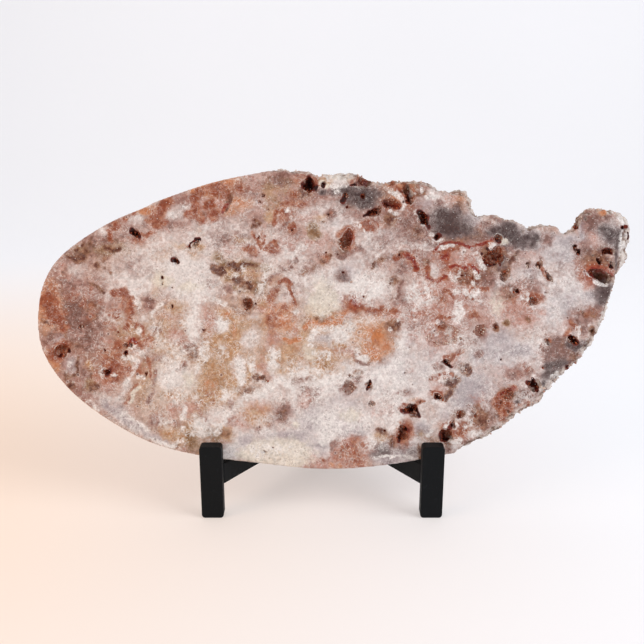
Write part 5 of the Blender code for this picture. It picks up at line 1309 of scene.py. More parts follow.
@dataclass(frozen=True)
class AmethystFinish:
    """The stone: clouded pale quartz with mineral stains, polished where it is cut.

    A noise is a pattern on the stone, a step says where something shows and a share how strongly.
    """

    pale: Colour = polished(196, 160, 149)
    warm: Colour = polished(203, 164, 145)
    milky: Colour = polished(219, 194, 184)
    cloud: Colour = polished(253, 246, 242)
    fleck: Colour = polished(134, 94, 82)
    speck: Colour = polished(120, 76, 62)
    # The next two: the painted shade of the cavities' depths, dark red-brown, and red in red cavities. The
    # first also paints the pinholes.
    pit: Colour = polished(102, 45, 29)
    red_depth_shade: Colour = polished(156, 52, 34)
    pit_wall: Colour = polished(172, 98, 70)
    pit_crystal: Colour = polished(220, 166, 142)
    frost: Colour = polished(252, 245, 240)
    rind: Colour = polished(230, 216, 206)
    crevice: Colour = polished(120, 84, 66)

    hues: Noise = Noise(28.0, 3.0, 0.0, 0.40, 0.60)
    milk_clouds: Noise = Noise(75.0, 6.0, 0.8, 0.40, 0.58)
    flecks: Noise = Noise(340.0, 5.0, 0.3, 0.52, 0.62)
    fleck_crowds: Noise = Noise(85.0, 4.0, 0.0, 0.42, 0.56)
    fleck_share: float = 0.7
    fleck_in_milk: float = 0.5
    blob_edges: Noise = Noise(300.0, 4.0)
    blob_choice: float = 0.5
    blob: Step = (0.36, 0.60)

    stain_offset: float = 0.37
    lace_share: float = 0.95

    hole_scale: float = 250.0
    hole_crowds: Noise = Noise(70.0, 4.0, 0.0, 0.45, 0.60)
    hole_closing: Step = (0.25, 0.75)
    hole_rarity: tuple[float, float] = (0.60, 0.90)
    hole_choice: Step = (0.0, 0.05)
    hole_growth: float = 0.12
    rim_gap: Step = (0.26, 0.16)
    rim_share: float = 0.28
    # The pinholes' painted shade: where it shows and how strongly.
    hole_gap: Step = (0.12, 0.05)
    pinhole_shade_share: float = 0.75

    fibre_light: Step = (0.04, 0.30)
    fibre_faintest: float = 0.22
    fibres: tuple[tuple[Noise, Noise, float], ...] = (
        (Noise(210.0, 5.0, 1.3), Noise(60.0, 3.0, 0.0, 0.40, 0.60), 0.60),
        (Noise(430.0, 5.0, 1.3), Noise(95.0, 3.0, 0.0, 0.40, 0.60), 0.45),
    )
    fibre_gap: Step = (0.045, 0.0)
    specks: Noise = Noise(950.0, 3.0, 0.0, 0.57, 0.64)
    speck_crowds: Noise = Noise(120.0, 4.0, 0.0, 0.48, 0.62)
    speck_share: float = 0.40

    crust: Noise = Noise(260.0, 4.0, 0.0, 0.36, 0.58)
    crust_bared: Step = (0.9, 0.4)
    crust_share: float = 0.8
    # Darker brown in the rind's crevices, between its lumps.
    crevice_darkening: Noise = Noise(330.0, 4.0, 0.0, 0.34, 0.56)
    crevice_darkening_share: float = 0.85

    wall_crystals: Noise = Noise(520.0, 3.0, 0.0, 0.46, 0.60)
    wall_stained: Step = (0.3, 0.8)
    wall_cover: tuple[float, float] = (0.50, 0.08)
    # Where the painted shade of the cavities' depths shows.
    painted_shade_edges: Noise = Noise(380.0, 3.0)
    painted_shade_swing: float = 2.2
    painted_shade: Step = (0.52, 0.92)
    painted_shade_start: Step = (0.05, 0.4)
    frost_ragged: float = 0.6
    frost_softness: float = 0.10
    frost_offset: float = 7.7
    frost_share: float = 0.35

    broad_shades: Noise = Noise(170.0, 5.0, 0.8)
    broad_share: float = 0.75
    close_shades: Noise = Noise(560.0, 5.0, 0.4)
    grain_size: float = 0.0010
    grain_share: float = 0.55
    darkest: float = 0.28
    contrast: float = 0.62
    # How strongly rare grains are painted white: painted glints, partly white crystal grains.
    glint_share: float = 0.6

    polish: float = 0.24
    natural: float = 0.70
    mirror: float = 0.28
    dull_mirror: float = 0.10
    refraction: float = 1.54
    sawn_roughness: float = 0.45
    grain_roughness: float = 0.12
    polished_relief: float = 0.04
    bumps: Relief = (0.6, 0.0005)

    def clouds(self, graph: Graph, place: Socket, cells: Sockets) -> Socket:
        """Return the stone's own colour under the stains, with fewer flecks where it is milky.

        Args:
            graph: The material's graph.
            place: The place on the stone.
            cells: The outputs of the stone's cells.

        Returns:
            The colour.
        """
        colour = graph.mix(graph.pattern(place, self.hues), self.pale, self.warm)
        colour = graph.mix(graph.pattern(place, self.milk_clouds), colour, self.milky)
        milk = graph.attribute(Stain.MILK)
        share = graph.times(graph.between(1.0, self.fleck_in_milk, milk), self.fleck_share)
        flecks = graph.times(graph.pattern(place, self.flecks), graph.pattern(place, self.fleck_crowds))
        colour = graph.mix(graph.times(flecks, share), colour, self.fleck)
        choice = graph.times(cells["Pick"], self.blob_choice)
        hill = graph.plus(cells["Hill"], graph.swing(place, self.blob_edges), choice)
        return graph.mix(graph.times(graph.step(hill, *self.blob), share), colour, self.fleck)

    def stained(
        self,
        graph: Graph,
        place: Socket,
        hill: Socket,
        colour: Socket,
        ragged: bpy.types.NodeTree,
        looks: dict[Stain, StainLook],
    ) -> Socket:
        """Lay stains over a colour.

        Args:
            graph: The material's graph.
            place: The place on the stone.
            hill: The hills of the stone's cells.
            colour: The colour below.
            ragged: The group that makes ragged patches.
            looks: The looks of the stains to lay, in order.

        Returns:
            The colour with all stains.
        """
        for number, (stain, look) in enumerate(looks.items()):
            patch = graph.group(ragged, {
                "Place": place,
                "Hill": hill,
                "Density": graph.attribute(stain),
                "Ragged": look.ragged,
                "Softness": look.softness,
                "Mottle": look.mottle,
                "Offset": self.stain_offset * number,
            })
            own = graph.mix(patch["Core"], polished(*look.edge), polished(*look.core))
            colour = graph.mix(graph.times(patch["Mask"], look.opacity), colour, own)
            if look.outline:
                colour = graph.mix(graph.times(patch["Line"], look.outline), colour, polished(*look.line))
        return colour

    def pricked(self, graph: Graph, place: Socket, colour: Socket) -> Socket:
        """Prick a colour with fine holes in painted shade that have pale rims, fewer where the stone is
        milky or charcoal.

        Args:
            graph: The material's graph.
            place: The place on the stone.
            colour: The colour below.

        Returns:
            The pricked colour.
        """
        holes = graph.add("ShaderNodeTexVoronoi", {"Vector": place, "Scale": self.hole_scale}).outputs
        pick = graph.add("ShaderNodeSeparateColor", {"Color": holes["Color"]}).outputs
        stains = (Stain.MILK, Stain.CHARCOAL)
        closed = graph.most(*(graph.step(graph.attribute(kind), *self.hole_closing) for kind in stains))
        rare = graph.between(*self.hole_rarity, closed)
        chosen = graph.step(graph.minus(pick[0], rare), *self.hole_choice)
        chosen = graph.times(chosen, graph.pattern(place, self.hole_crowds))
        gap = graph.minus(holes["Distance"], graph.times(pick[1], self.hole_growth))
        rim = graph.times(graph.step(gap, *self.rim_gap), chosen, self.rim_share)
        # The holes are painted shade in the pit colour; the mesh has no holes there.
        pinhole_shade = graph.times(graph.step(gap, *self.hole_gap), chosen, self.pinhole_shade_share)
        return graph.mix(pinhole_shade, graph.mix(rim, colour, self.frost), self.pit)

    def veined(self, graph: Graph, place: Socket, colour: Socket) -> Socket:
        """Lay fine white fibres and dark specks over a colour, with fainter fibres where it is dark.

        Args:
            graph: The material's graph.
            place: The place on the stone.
            colour: The colour below.

        Returns:
            The colour with fibres and specks.
        """
        light = graph.step(graph.add("ShaderNodeRGBToBW", {0: colour}).outputs[0], *self.fibre_light)
        light = graph.between(self.fibre_faintest, 1.0, light)
        for wisps, regions, strength in self.fibres:
            wisp = graph.step(graph.ridge(place, wisps), *self.fibre_gap)
            here = graph.times(graph.pattern(place, regions), light)
            colour = graph.mix(graph.times(wisp, here, strength), colour, self.cloud)
        specks = graph.times(graph.pattern(place, self.specks), graph.pattern(place, self.speck_crowds))
        return graph.mix(graph.times(specks, self.speck_share), colour, self.speck)

    def crusted(self, graph: Graph, place: Socket, colour: Socket, rind: Socket, crevice: Socket) -> Socket:
        """Lay the pale crust of the rind over a colour, and darken it in the rind's crevices.

        Args:
            graph: The material's graph.
            place: The place on the stone.
            colour: The colour below.
            rind: How much of the rind there is.
            crevice: How much of a crevice there is.

        Returns:
            The colour with the crust.
        """
        bared = graph.most(graph.attribute(Stain.RUST), graph.attribute(Stain.BROWN))
        crust = graph.times(rind, graph.pattern(place, self.crust), graph.step(bared, *self.crust_bared))
        colour = graph.mix(graph.times(crust, self.crust_share), colour, self.rind)
        # Darker brown in the crevices between the rind's lumps.
        crevice_darkening = graph.times(crevice, graph.pattern(place, self.crevice_darkening), self.crevice_darkening_share)
        return graph.mix(crevice_darkening, colour, self.crevice)

    def hollowed(self, graph: Graph, place: Socket, colour: Socket, pit: Socket, depth_shade: Socket) -> Socket:
        """Colour the cavities: stained crystals on their walls and painted shade in their depths.

        Args:
            graph: The material's graph.
            place: The place on the stone.
            colour: The colour below.
            pit: How much of a cavity there is.
            depth_shade: How much painted shade its depth gives.

        Returns:
            The colour with the cavities.
        """
        wall = graph.mix(graph.pattern(place, self.wall_crystals), self.pit_wall, self.pit_crystal)
        pale = graph.step(graph.attribute(Stain.MILK), *self.wall_stained)
        red = graph.step(graph.attribute(Stain.RED), *self.wall_stained)
        cover = graph.between(*self.wall_cover, graph.most(pale, red))
        colour = graph.mix(graph.times(pit, cover), colour, wall)
        # Painted shade towards the bottom of the cavities, with ragged edges.
        swing = graph.times(graph.swing(place, self.painted_shade_edges), self.painted_shade_swing)
        dark = graph.step(graph.plus(depth_shade, swing), *self.painted_shade)
        dark = graph.times(dark, graph.step(depth_shade, *self.painted_shade_start))
        return graph.mix(dark, colour, graph.mix(red, self.pit, self.red_depth_shade))

    def mottled_with_glints(self, graph: Graph, place: Socket, colour: Socket, grain: Sockets) -> Socket:
        """Mottle a colour with clouds and grain, and paint rare grains white: painted glints, partly white
        crystal grains.

        Args:
            graph: The material's graph.
            place: The place on the stone.
            colour: The colour below.
            grain: The outputs of the grain.

        Returns:
            The mottled colour with its painted glints.
        """
        texture = graph.plus(
            graph.times(graph.noise(place, self.broad_shades), self.broad_share),
            graph.noise(place, self.close_shades),
            graph.times(grain["Grain"], self.grain_share),
        )
        shade = graph.plus(self.darkest, graph.times(texture, self.contrast))
        grey = graph.add("ShaderNodeCombineColor", {0: shade, 1: shade, 2: shade}).outputs[0]
        colour = graph.mix(1.0, colour, grey, "MULTIPLY")
        # Painted glints on rare grains, partly white crystal grains.
        return graph.mix(graph.times(grain["Glint"], self.glint_share), colour, self.frost)

    def material(self, effects: Effects) -> bpy.types.Material:
        """Return the stone's material.

        Args:
            effects: The shared node groups.

        Returns:
            The material.
        """
        material, graph, shader, place = new_material("polished_pink_amethyst")
        grain = graph.group(effects.grain, {"Place": place, "Size": self.grain_size})
        cells = graph.group(effects.cells, {"Place": place})
        skin = {kind: graph.attribute(kind) for kind in Skin}

        colour = self.clouds(graph, place, cells)
        colour = self.stained(graph, place, cells["Hill"], colour, effects.ragged, STAIN_LOOKS)
        white = {"Place": place, "Edge": cells["Edge"], "Density": graph.attribute(Stain.WHITE)}
        lace = graph.times(graph.group(effects.lace, white)["Mask"], self.lace_share)
        colour = self.pricked(graph, place, graph.mix(lace, colour, self.cloud))
        colour = self.veined(graph, place, colour)
        colour = self.crusted(graph, place, colour, skin[Skin.RIND], skin[Skin.CREVICE])
        colour = self.hollowed(graph, place, colour, skin[Skin.PIT], skin[Skin.DEPTH_SHADE])
        frost = graph.group(effects.ragged, {
            "Place": place,
            "Density": skin[Skin.FROST],
            "Ragged": self.frost_ragged,
            "Softness": self.frost_softness,
            "Offset": self.frost_offset,
        })
        colour = graph.mix(graph.times(frost["Mask"], self.frost_share), colour, self.frost)
        # The painted shade of the cavities, from the listed marks.
        colour = self.stained(graph, place, cells["Hill"], colour, effects.ragged, {Stain.DARK: CAVITY_SHADE_LOOK})

        sawn = graph.times(skin[Skin.SAWN], self.sawn_roughness)
        rough = graph.maths("MINIMUM", graph.most(skin[Skin.PIT], skin[Skin.RIND], sawn), 1.0)
        gloss = graph.between(self.polish, self.natural, rough)
        graph.feed(shader, {
            "Base Color": self.mottled_with_glints(graph, place, colour, grain),
            "Roughness": graph.plus(gloss, graph.times(grain["Grain"], self.grain_roughness)),
            "Specular IOR Level": graph.between(self.mirror, self.dull_mirror, rough),
            "IOR": self.refraction,
        })
        height = graph.times(grain["Height"], graph.plus(self.polished_relief, rough))
        graph.relief(shader, height, self.bumps)
        return material


@dataclass(frozen=True)
class CrystalFinish:
    """The small quartz crystals of the cavities and of the rind, clear to rust-stained, and darkened with
    painted shade in shaded cavities.
    """

    clear: Colour = tone(248, 228, 214)
    stained: Colour = tone(178, 88, 54)
    # The painted shade of crystals in the cavities' depths and under the cavity marks.
    painted_shade_tone: Colour = tone(116, 44, 26)
    stain_start: float = 0.1
    painted_shade_start: float = 1.1
    mirror: float = 0.10
    roughness: float = 0.28
    passing: float = 0.10
    refraction: float = 1.54
    grain_size: float = 0.0007
    grain_share: float = 0.2
    bumps: Relief = (0.2, 0.0001)

    def material(self, effects: Effects) -> bpy.types.Material:
        """Return the crystals' material.

        Args:
            effects: The shared node groups.

        Returns:
            The material.
        """
        material, graph, shader, place = new_material("small_quartz_crystals")
        grain = graph.group(effects.grain, {"Place": place, "Size": self.grain_size})
        uneven = graph.times(grain["Grain"], self.grain_share)
        tint = graph.plus(graph.attribute(Crystal.TINT), uneven)
        colour = graph.mix(graph.minus(tint, self.stain_start, clamp=True), self.clear, self.stained)
        colour = graph.mix(graph.minus(tint, self.painted_shade_start, clamp=True), colour, self.painted_shade_tone)
        graph.feed(shader, {
            "Base Color": colour,
            "Roughness": graph.plus(self.roughness, uneven),
            "Specular IOR Level": self.mirror,
            "Transmission Weight": self.passing,
            "IOR": self.refraction,
        })
        graph.relief(shader, grain["Height"], self.bumps)
        return material


@dataclass(frozen=True)
class PaintFinish:
    """Black satin paint on wood, with a trace of the grain and a few rubbed spots."""

    coat: Colour = tone(1, 5, 9)
    rubbed: Colour = tone(26, 31, 36)
    rubs: Noise = Noise(240.0, 5.0, 0.0, 0.60, 0.72)
    rub_share: float = 0.5
    fibre_scale: Place = (900.0, 900.0, 60.0)
    fibres: Noise = Noise(1.0, 4.0)
    fibre_share: float = 0.12
    fibre_roughness: float = 0.16
    grain_size: float = 0.0016
    grain_height: float = 0.15
    roughness: float = 0.50
    gloss: float = 0.18
    bumps: Relief = (0.35, 0.0002)

    def material(self, effects: Effects) -> bpy.types.Material:
        """Return the paint.

        Args:
            effects: The shared node groups.

        Returns:
            The material.
        """
        material, graph, shader, place = new_material("black_painted_wood")
        stretched = graph.add("ShaderNodeMapping", {"Vector": place, "Scale": self.fibre_scale}).outputs[0]
        fibre = graph.noise(stretched, self.fibres)
        grain = graph.group(effects.grain, {"Place": place, "Size": self.grain_size})
        worn = graph.times(graph.pattern(place, self.rubs), self.rub_share)
        share = graph.plus(worn, graph.times(fibre, self.fibre_share))
        graph.feed(shader, {
            "Base Color": graph.mix(share, self.coat, self.rubbed),
            "Specular IOR Level": self.gloss,
            "Roughness": graph.plus(self.roughness, graph.times(fibre, self.fibre_roughness)),
        })
        graph.relief(shader, graph.plus(fibre, graph.times(grain["Height"], self.grain_height)), self.bumps)
        return material


@dataclass(frozen=True)
class PaperFinish:
    """The sweep's pale paper, with a painted glow that lifts its shadows and a painted pool of warm light
    round one spot.
    """

    dim: Colour = tone(198, 197, 196, 1.0)
    bright: Colour = tone(205, 204, 204, 1.0)
    # Tints of the painted light: cool away from the spot, warm round it.
    cool: Colour = tone(250, 251, 255, 1.0)
    warm: Colour = tone(251, 220, 192, 1.0)
    painted_warm_light_spot: Place = (-0.55, -0.05, 0.0)
    painted_warm_light_reach: float = 0.85
    clouds: Noise = Noise(1.6, 2.0)
    roughness: float = 0.8
    # A painted glow that lifts the sweep's shadows like fill light.
    painted_fill_glow: float = 0.38

    def material(self) -> bpy.types.Material:
        """Return the paper.

        Returns:
            The material.
        """
        material, graph, shader, place = new_material("pale_paper")
        # A painted pool of warm light round one spot, in the colour and the glow.
        away = graph.vector("DISTANCE", place, self.painted_warm_light_spot, output=1)
        tint = graph.mix(graph.step(away, self.painted_warm_light_reach, 0.0), self.cool, self.warm)
        paper = graph.mix(graph.noise(place, self.clouds), self.dim, self.bright)
        graph.feed(shader, {
            "Base Color": graph.mix(1.0, paper, tint, "MULTIPLY"),
            "Roughness": self.roughness,
            "Emission Color": tint,
            "Emission Strength": self.painted_fill_glow,
        })
        return material


def oval_reach(across: np.ndarray, up: np.ndarray, oval: Patch | Dent) -> np.ndarray:
    """Return the squared distance from an oval's middle, which is 1 on its outline.

    Args:
        across: How far each point lies to the right of the middle.
        up: How far it lies above the middle.
        oval: The oval.

    Returns:
        One value a point.
    """
    turn = math.radians(oval.turn)
    cosine, sine = math.cos(turn), math.sin(turn)
    along = (across * cosine + up * sine) / (0.5 * oval.width * MM)
    over = (up * cosine - across * sine) / (0.5 * oval.height * MM)
    return along * along + over * over


def dent_reach(points: np.ndarray, dent: Dent) -> np.ndarray:
    """Return the squared distance of points in the slice's frame from a dent's middle."""
    return oval_reach(points[:, 0] - dent.u * MM, points[:, 2] - dent.v * MM, dent)


def add_patch(cubes: np.ndarray, places: np.ndarray, patch: Patch) -> None:
    """Add the cube of a patch's density to the places in its reach.

    Args:
        cubes: The sum of cubes so far, changed in place.
        places: The places (u, v), one a row.
        patch: The patch.
    """
    across, up = places[:, 0] - patch.u * MM, places[:, 1] - patch.v * MM
    reach = max(patch.width, patch.height) * MM
    near = np.flatnonzero((np.abs(across) < reach) & (np.abs(up) < reach))
    fall = np.clip(1.0 - 0.5 * np.sqrt(oval_reach(across[near], up[near], patch)), 0.0, 1.0)
    cubes[near] += (patch.strength * fall) ** 3


def add_streak(density: np.ndarray, places: np.ndarray, streak: Streak, uneven: np.ndarray) -> None:
    """Raise the density along a streak to the streak's own.

    Args:
        density: The density so far, changed in place.
        places: The places (u, v), one a row.
        streak: The streak.
        uneven: How many times its own width the streak is wide at each place.
    """
    corners = np.array(streak.points) * MM
    width = streak.width * MM
    low, high = corners.min(axis=0) - width, corners.max(axis=0) + width
    near = np.flatnonzero(np.all((places > low) & (places < high), axis=1))
    distance = np.full(len(near), FAR_AWAY)
    for start, end in zip(corners[:-1], corners[1:]):
        run = end - start
        offset = places[near] - start
        share = np.clip(offset @ run / (run @ run), 0.0, 1.0)
        distance = np.minimum(distance, np.linalg.norm(offset - share[:, None] * run, axis=1))
    fall = np.clip(1.0 - distance / (width * uneven[near]), 0.0, 1.0)
    density[near] = np.maximum(density[near], streak.strength * fall)


def add_spots(density: np.ndarray, places: np.ndarray, spots: Spots) -> None:
    """Raise the density in round spots to the spots' own.

    Args:
        density: The density so far, changed in place.
        places: The places (u, v), one a row.
        spots: The spots.
    """
    width = spots.width * MM
    for spot in spots.places:
        offset = places - np.array(spot) * MM
        near = np.flatnonzero(np.all(np.abs(offset) < width, axis=1))
        fall = np.clip(1.0 - np.linalg.norm(offset[near], axis=1) / width, 0.0, 1.0)
        density[near] = np.maximum(density[near], spots.strength * fall)


@dataclass
class AmethystSlice:
    """The stone: a fine copy of its CAD node with rough cavities, rough rind and stains.

    Sizes are in metres. A step says at which depths or distances something starts and is full.
    """

    node: str = "amethyst_slice"
    place: SliceFrame = SliceFrame()
    thickness: float = 0.018
    voxel: float = 0.0010
    triangles: int = 192_000
    sharp_angle: float = math.radians(42.0)
    wall_depths: tuple[float, float] = (0.0086, 0.0112)
    polished_band: float = 0.0060
    natural_band: float = 0.0090
    natural_start: tuple[float, float] = (-0.035, 0.201)
    natural_end: tuple[float, float] = (0.088, 0.010)
    natural_blend: Step = (-0.004, 0.006)
    flat: float = 0.00005

    inner: Step = (-0.0005, 0.0010)
    rind: Step = (0.0001, 0.0008)
    pit: Step = (0.0002, 0.0010)
    # Where the cavities' depths and the dents get painted shade, and how strongly.
    depth_shade: Step = (0.0032, 0.0086)
    depth_shade_in_front: float = 0.25
    behind: Step = (0.40, 0.60)
    dent_shade: float = 1.3
    dent_depths: tuple[float, float] = (0.35, 0.45)
    crevice: Step = (0.40, 0.75)
    sawn: Step = (0.0012, 0.0002)

    druse: Lumps = Lumps(0.0010, 0.5, 0.0026, 11)
    druse_grains: Ripple = Ripple(0.0002, 0.0012, 12)
    lumps: Lumps = Lumps(0.0024, 0.60, 0.0052, 21)
    crust: Lumps = Lumps(0.0013, 0.52, 0.0024, 31)
    saw_marks: Ripple = Ripple(1.0, 0.0020, 41)
    saw_depth: float = 0.00006
    mouths: Ripple = Ripple(0.35, 0.0022, 5)
    bends: tuple[Ripple, Ripple] = (Ripple(0.0018, 0.0062, 81), Ripple(0.0007, 0.0025, 82))

    stain_strength: float = 1.12
    stain_bends: tuple[Ripple, Ripple] = (Ripple(0.0009, 0.0058, 51), Ripple(0.0005, 0.0023, 52))
    stain_slope: float = 0.2
    stain_slopes: Ripple = Ripple(0.7, 0.034, 53)
    stain_leaves: Step = (0.004, 0.010)
    streak_widths: Ripple = Ripple(0.35, 0.0032, 101)
    faintness: Ripple = Ripple(0.22, 0.0075, 111)
    frost_pit: float = 0.12
    frost_depth: float = 0.0006
    frost_reach: float = 0.0015
    frost_level: float = 0.10
    frost_swing: Ripple = Ripple(1.6, 0.0045, 71)
    wall: kdtree.KDTree | None = None

    def find_wall(self, points: np.ndarray) -> None:
        """Keep the outline: the side wall at half the thickness, which no cavity reaches.

        Args:
            points: The fine mesh's points in the slice's frame.
        """
        low, high = self.wall_depths
        half_way = points[(points[:, 1] > low) & (points[:, 1] < high)]
        self.wall = kdtree.KDTree(len(half_way))
        for index, (across, _, up) in enumerate(half_way):
            self.wall.insert((across, 0.0, up), index)
        self.wall.balance()

    def inside(self, points: np.ndarray) -> np.ndarray:
        """Return how far each point of the slice's frame lies from the outline, along the faces."""
        return np.array([self.wall.find((across, 0.0, up))[2] for across, _, up in points])

    def natural_side(self, points: np.ndarray) -> np.ndarray:
        """Return 1 on the side of the natural rind and 0 on the side of the polished rim.

        Args:
            points: Points in the slice's frame.

        Returns:
            One value a point.
        """
        start, end = np.array(self.natural_start), np.array(self.natural_end)
        along = (end - start) / np.linalg.norm(end - start)
        offset = points[:, (0, 2)] - start
        return smooth_step(along[0] * offset[:, 1] - along[1] * offset[:, 0], *self.natural_blend)

    def skins(self, points: np.ndarray) -> dict[Skin, np.ndarray]:
        """Return how much of each kind of surface, and of painted shade in the cavities, there is at each
        point.

        Args:
            points: Points in the slice's frame.

        Returns:
            One array a kind. The frost isn't among them.
        """
        depth = np.clip(points[:, 1], 0.0, self.thickness)
        from_face = np.minimum(depth, self.thickness - depth)
        natural = self.natural_side(points)
        band = self.polished_band + (self.natural_band - self.polished_band) * natural
        inner = smooth_step(self.inside(points) - band, *self.inner)
        rind = (1.0 - inner) * natural * smooth_step(from_face, *self.rind)
        gaps = smooth_step(cell_distance(points, self.lumps.size, self.lumps.seed), *self.crevice)
        pit = inner * smooth_step(from_face, *self.pit)
        behind = smooth_step(depth, *(share * self.thickness for share in self.behind))
        # Painted shade of the cavities' depths, stronger towards the back.
        darkness = self.depth_shade_in_front + (1.0 - self.depth_shade_in_front) * behind
        depth_shade = inner * smooth_step(from_face, *self.depth_shade) * darkness
        # The dents get painted shade by their depth.
        least, a_millimetre = self.dent_depths
        for dent in (Dent(*row) for row in DENTS):
            middle = np.clip(self.dent_shade * (1.0 - dent_reach(points, dent)), 0.0, 1.0)
            depth_shade = np.maximum(depth_shade, pit * middle * min(1.0, least + a_millimetre * dent.depth))
        return {
            Skin.PIT: pit,
            Skin.DEPTH_SHADE: depth_shade,
            Skin.RIND: rind,
            Skin.CREVICE: rind * gaps,
            Skin.SAWN: smooth_step(depth, *(self.thickness - start for start in self.sawn)),
        }

    def fine_mesh(self) -> bpy.types.Mesh:
        """Remesh the CAD node's shape into small even faces.

        Returns:
            The fine mesh in the slice's frame.
        """
        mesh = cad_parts[self.node].data.copy()
        move_points(mesh, self.place.from_world(mesh_points(mesh)))
        shell = new_object("stone_shell", mesh)
        remesh = shell.modifiers.new("even faces", "REMESH")
        remesh.mode = "VOXEL"
        remesh.voxel_size = self.voxel
        remesh.use_smooth_shade = True
        return applied_mesh(shell, "fine_stone")

    def dented(self, points: np.ndarray) -> np.ndarray:
        """Push the small cavities of the cut face in.

        Args:
            points: Points in the slice's frame.

        Returns:
            The moved points.
        """
        moved = points.copy()
        face = np.flatnonzero(points[:, 1] < self.flat)
        ragged = 1.0 + self.mouths.at(points[face])
        for dent in (Dent(*row) for row in DENTS):
            bowl = np.sqrt(np.clip(1.0 - dent_reach(points[face], dent) * ragged, 0.0, 1.0))
            moved[face, 1] = np.maximum(moved[face, 1], bowl * dent.depth * MM)
        return moved

    def bent_cavities(self, points: np.ndarray) -> np.ndarray:
        """Bend the outlines of the cavities, which leaves the flat faces flat.

        Args:
            points: Points in the slice's frame.

        Returns:
            The moved points.
        """
        weight = smooth_step(self.inside(points), self.polished_band, self.natural_band)
        moved = points.copy()
        for turn, axis in enumerate((0, 2)):
            moved[:, axis] += weight * sum(bend.at(points, turn) for bend in self.bends)
        return moved

    def roughened(self, points: np.ndarray, normals: np.ndarray) -> np.ndarray:
        """Roughen the cavities, the rind and the sawn back.

        Args:
            points: Points in the slice's frame.
            normals: Their normals.

        Returns:
            The moved points.
        """
        skins = self.skins(points)
        druse = self.druse.at(points) + self.druse_grains.at(points)
        crust = self.lumps.at(points) + self.crust.at(points)
        lift = skins[Skin.PIT] * druse + skins[Skin.RIND] * crust
        moved = points + normals * lift[:, None]
        back = points[:, 1] > self.thickness - self.flat
        moved[back, 1] -= self.saw_depth * (1.0 + self.saw_marks.at(points[back]))
        return moved

    def thinned(self, mesh: bpy.types.Mesh) -> bpy.types.Mesh:
        """Take faces from the back, which needs less detail.

        Args:
            mesh: The fine mesh in the slice's frame.

        Returns:
            The lighter mesh.
        """
        mesh.calc_loop_triangles()
        behind = mesh_points(mesh)[:, 1] > self.thickness - self.sawn[0]
        thing = new_object("stone_thinning", mesh)
        spare = thing.vertex_groups.new(name="spare")
        spare.add(np.flatnonzero(behind).tolist(), 1.0, "REPLACE")
        thin = thing.modifiers.new("thin the back", "DECIMATE")
        thin.decimate_type = "COLLAPSE"
        thin.ratio = min(1.0, self.triangles / len(mesh.loop_triangles))
        thin.vertex_group = spare.name
        thin.vertex_group_factor = 1.0
        thin.use_collapse_triangulate = True
        return applied_mesh(thing, "pink_amethyst_stone")

    def stain_place(self, points: np.ndarray) -> np.ndarray:
        """Return where on the stain map each point reads: it wanders, more so deeper in the stone.

        Args:
            points: Points in the slice's frame.

        Returns:
            The places (u, v), one a row.
        """
        depth = np.clip(points[:, 1], 0.0, self.thickness)
        leaves = smooth_step(depth, *self.stain_leaves) * depth
        places = points[:, (0, 2)].copy()
        for axis in (0, 1):
            near = sum(bend.at(points, axis) for bend in self.stain_bends)
            places[:, axis] += near + leaves * (self.stain_slope + self.stain_slopes.at(points, axis))
        return places

    def stain_densities(self, points: np.ndarray) -> dict[Stain, np.ndarray]:
        """Return the density of each stain at each point, from its patches, streaks and spots.

        Args:
            points: Points in the slice's frame.

        Returns:
            One array a stain, from 0 to 1.
        """
        places = self.stain_place(points)
        uneven = 1.0 + self.streak_widths.at(points)
        strength = self.stain_strength * (1.0 + self.faintness.at(points))
        densities = {}
        for stain in Stain:
            density = np.zeros(len(points))
            for row in PATCHES.get(stain, ()):
                add_patch(density, places, Patch(*row))
            density = density ** (1.0 / 3.0)
            for row in STREAKS.get(stain, ()):
                add_streak(density, places, Streak(*row), uneven)
            for row in SPOTS.get(stain, ()):
                add_spots(density, places, Spots(*row))
            densities[stain] = np.clip(density * strength, 0.0, 1.0)
        return densities

    def frost(self, points: np.ndarray, pits: np.ndarray) -> np.ndarray:
        """Return how white the stone is round its cavities.

        Args:
            points: Points in the slice's frame.
            pits: How much each point lies in a cavity.

        Returns:
            One density a point.
        """
        hollow = np.flatnonzero((pits > self.frost_pit) & (points[:, 1] < 0.5 * self.thickness))
        tree = kdtree.KDTree(len(hollow))
        for index in hollow:
            tree.insert(Vector(points[index]), int(index))
        tree.balance()
        density = np.zeros(len(points))
        for index in np.flatnonzero((points[:, 1] < self.frost_depth) & (pits <= self.frost_pit)):
            distance = tree.find(Vector(points[index]))[2]
            density[index] = max(0.0, 1.0 - distance / self.frost_reach)
        uneven = np.clip(self.frost_level + self.frost_swing.at(points), 0.0, 1.0)
        return np.clip(density * uneven, 0.0, 1.0)

    def build(self, material: bpy.types.Material) -> bpy.types.Object:
        """Make the stone in place of its CAD node.

        Args:
            material: The stone's material.

        Returns:
            The stone.
        """
        fine = self.fine_mesh()
        self.find_wall(mesh_points(fine))
        points = self.dented(self.bent_cavities(mesh_points(fine)))
        move_points(fine, points)
        move_points(fine, self.roughened(points, mesh_normals(fine)))
        mesh = self.thinned(fine)
        points = mesh_points(mesh)
        skins = self.skins(points)
        skins[Skin.FROST] = self.frost(points, skins[Skin.PIT])
        for kind, values in {**skins, **self.stain_densities(points)}.items():
            add_values(mesh, kind.value, values)
        move_points(mesh, self.place.to_world(points))
        mesh.shade_smooth()
        mesh.set_sharp_from_angle(angle=self.sharp_angle)
        mesh.materials.clear()
        mesh.materials.append(material)
        stone = new_object("pink_amethyst_stone", mesh)
        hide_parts(self.node)
        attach(stone, "root")
        return stone


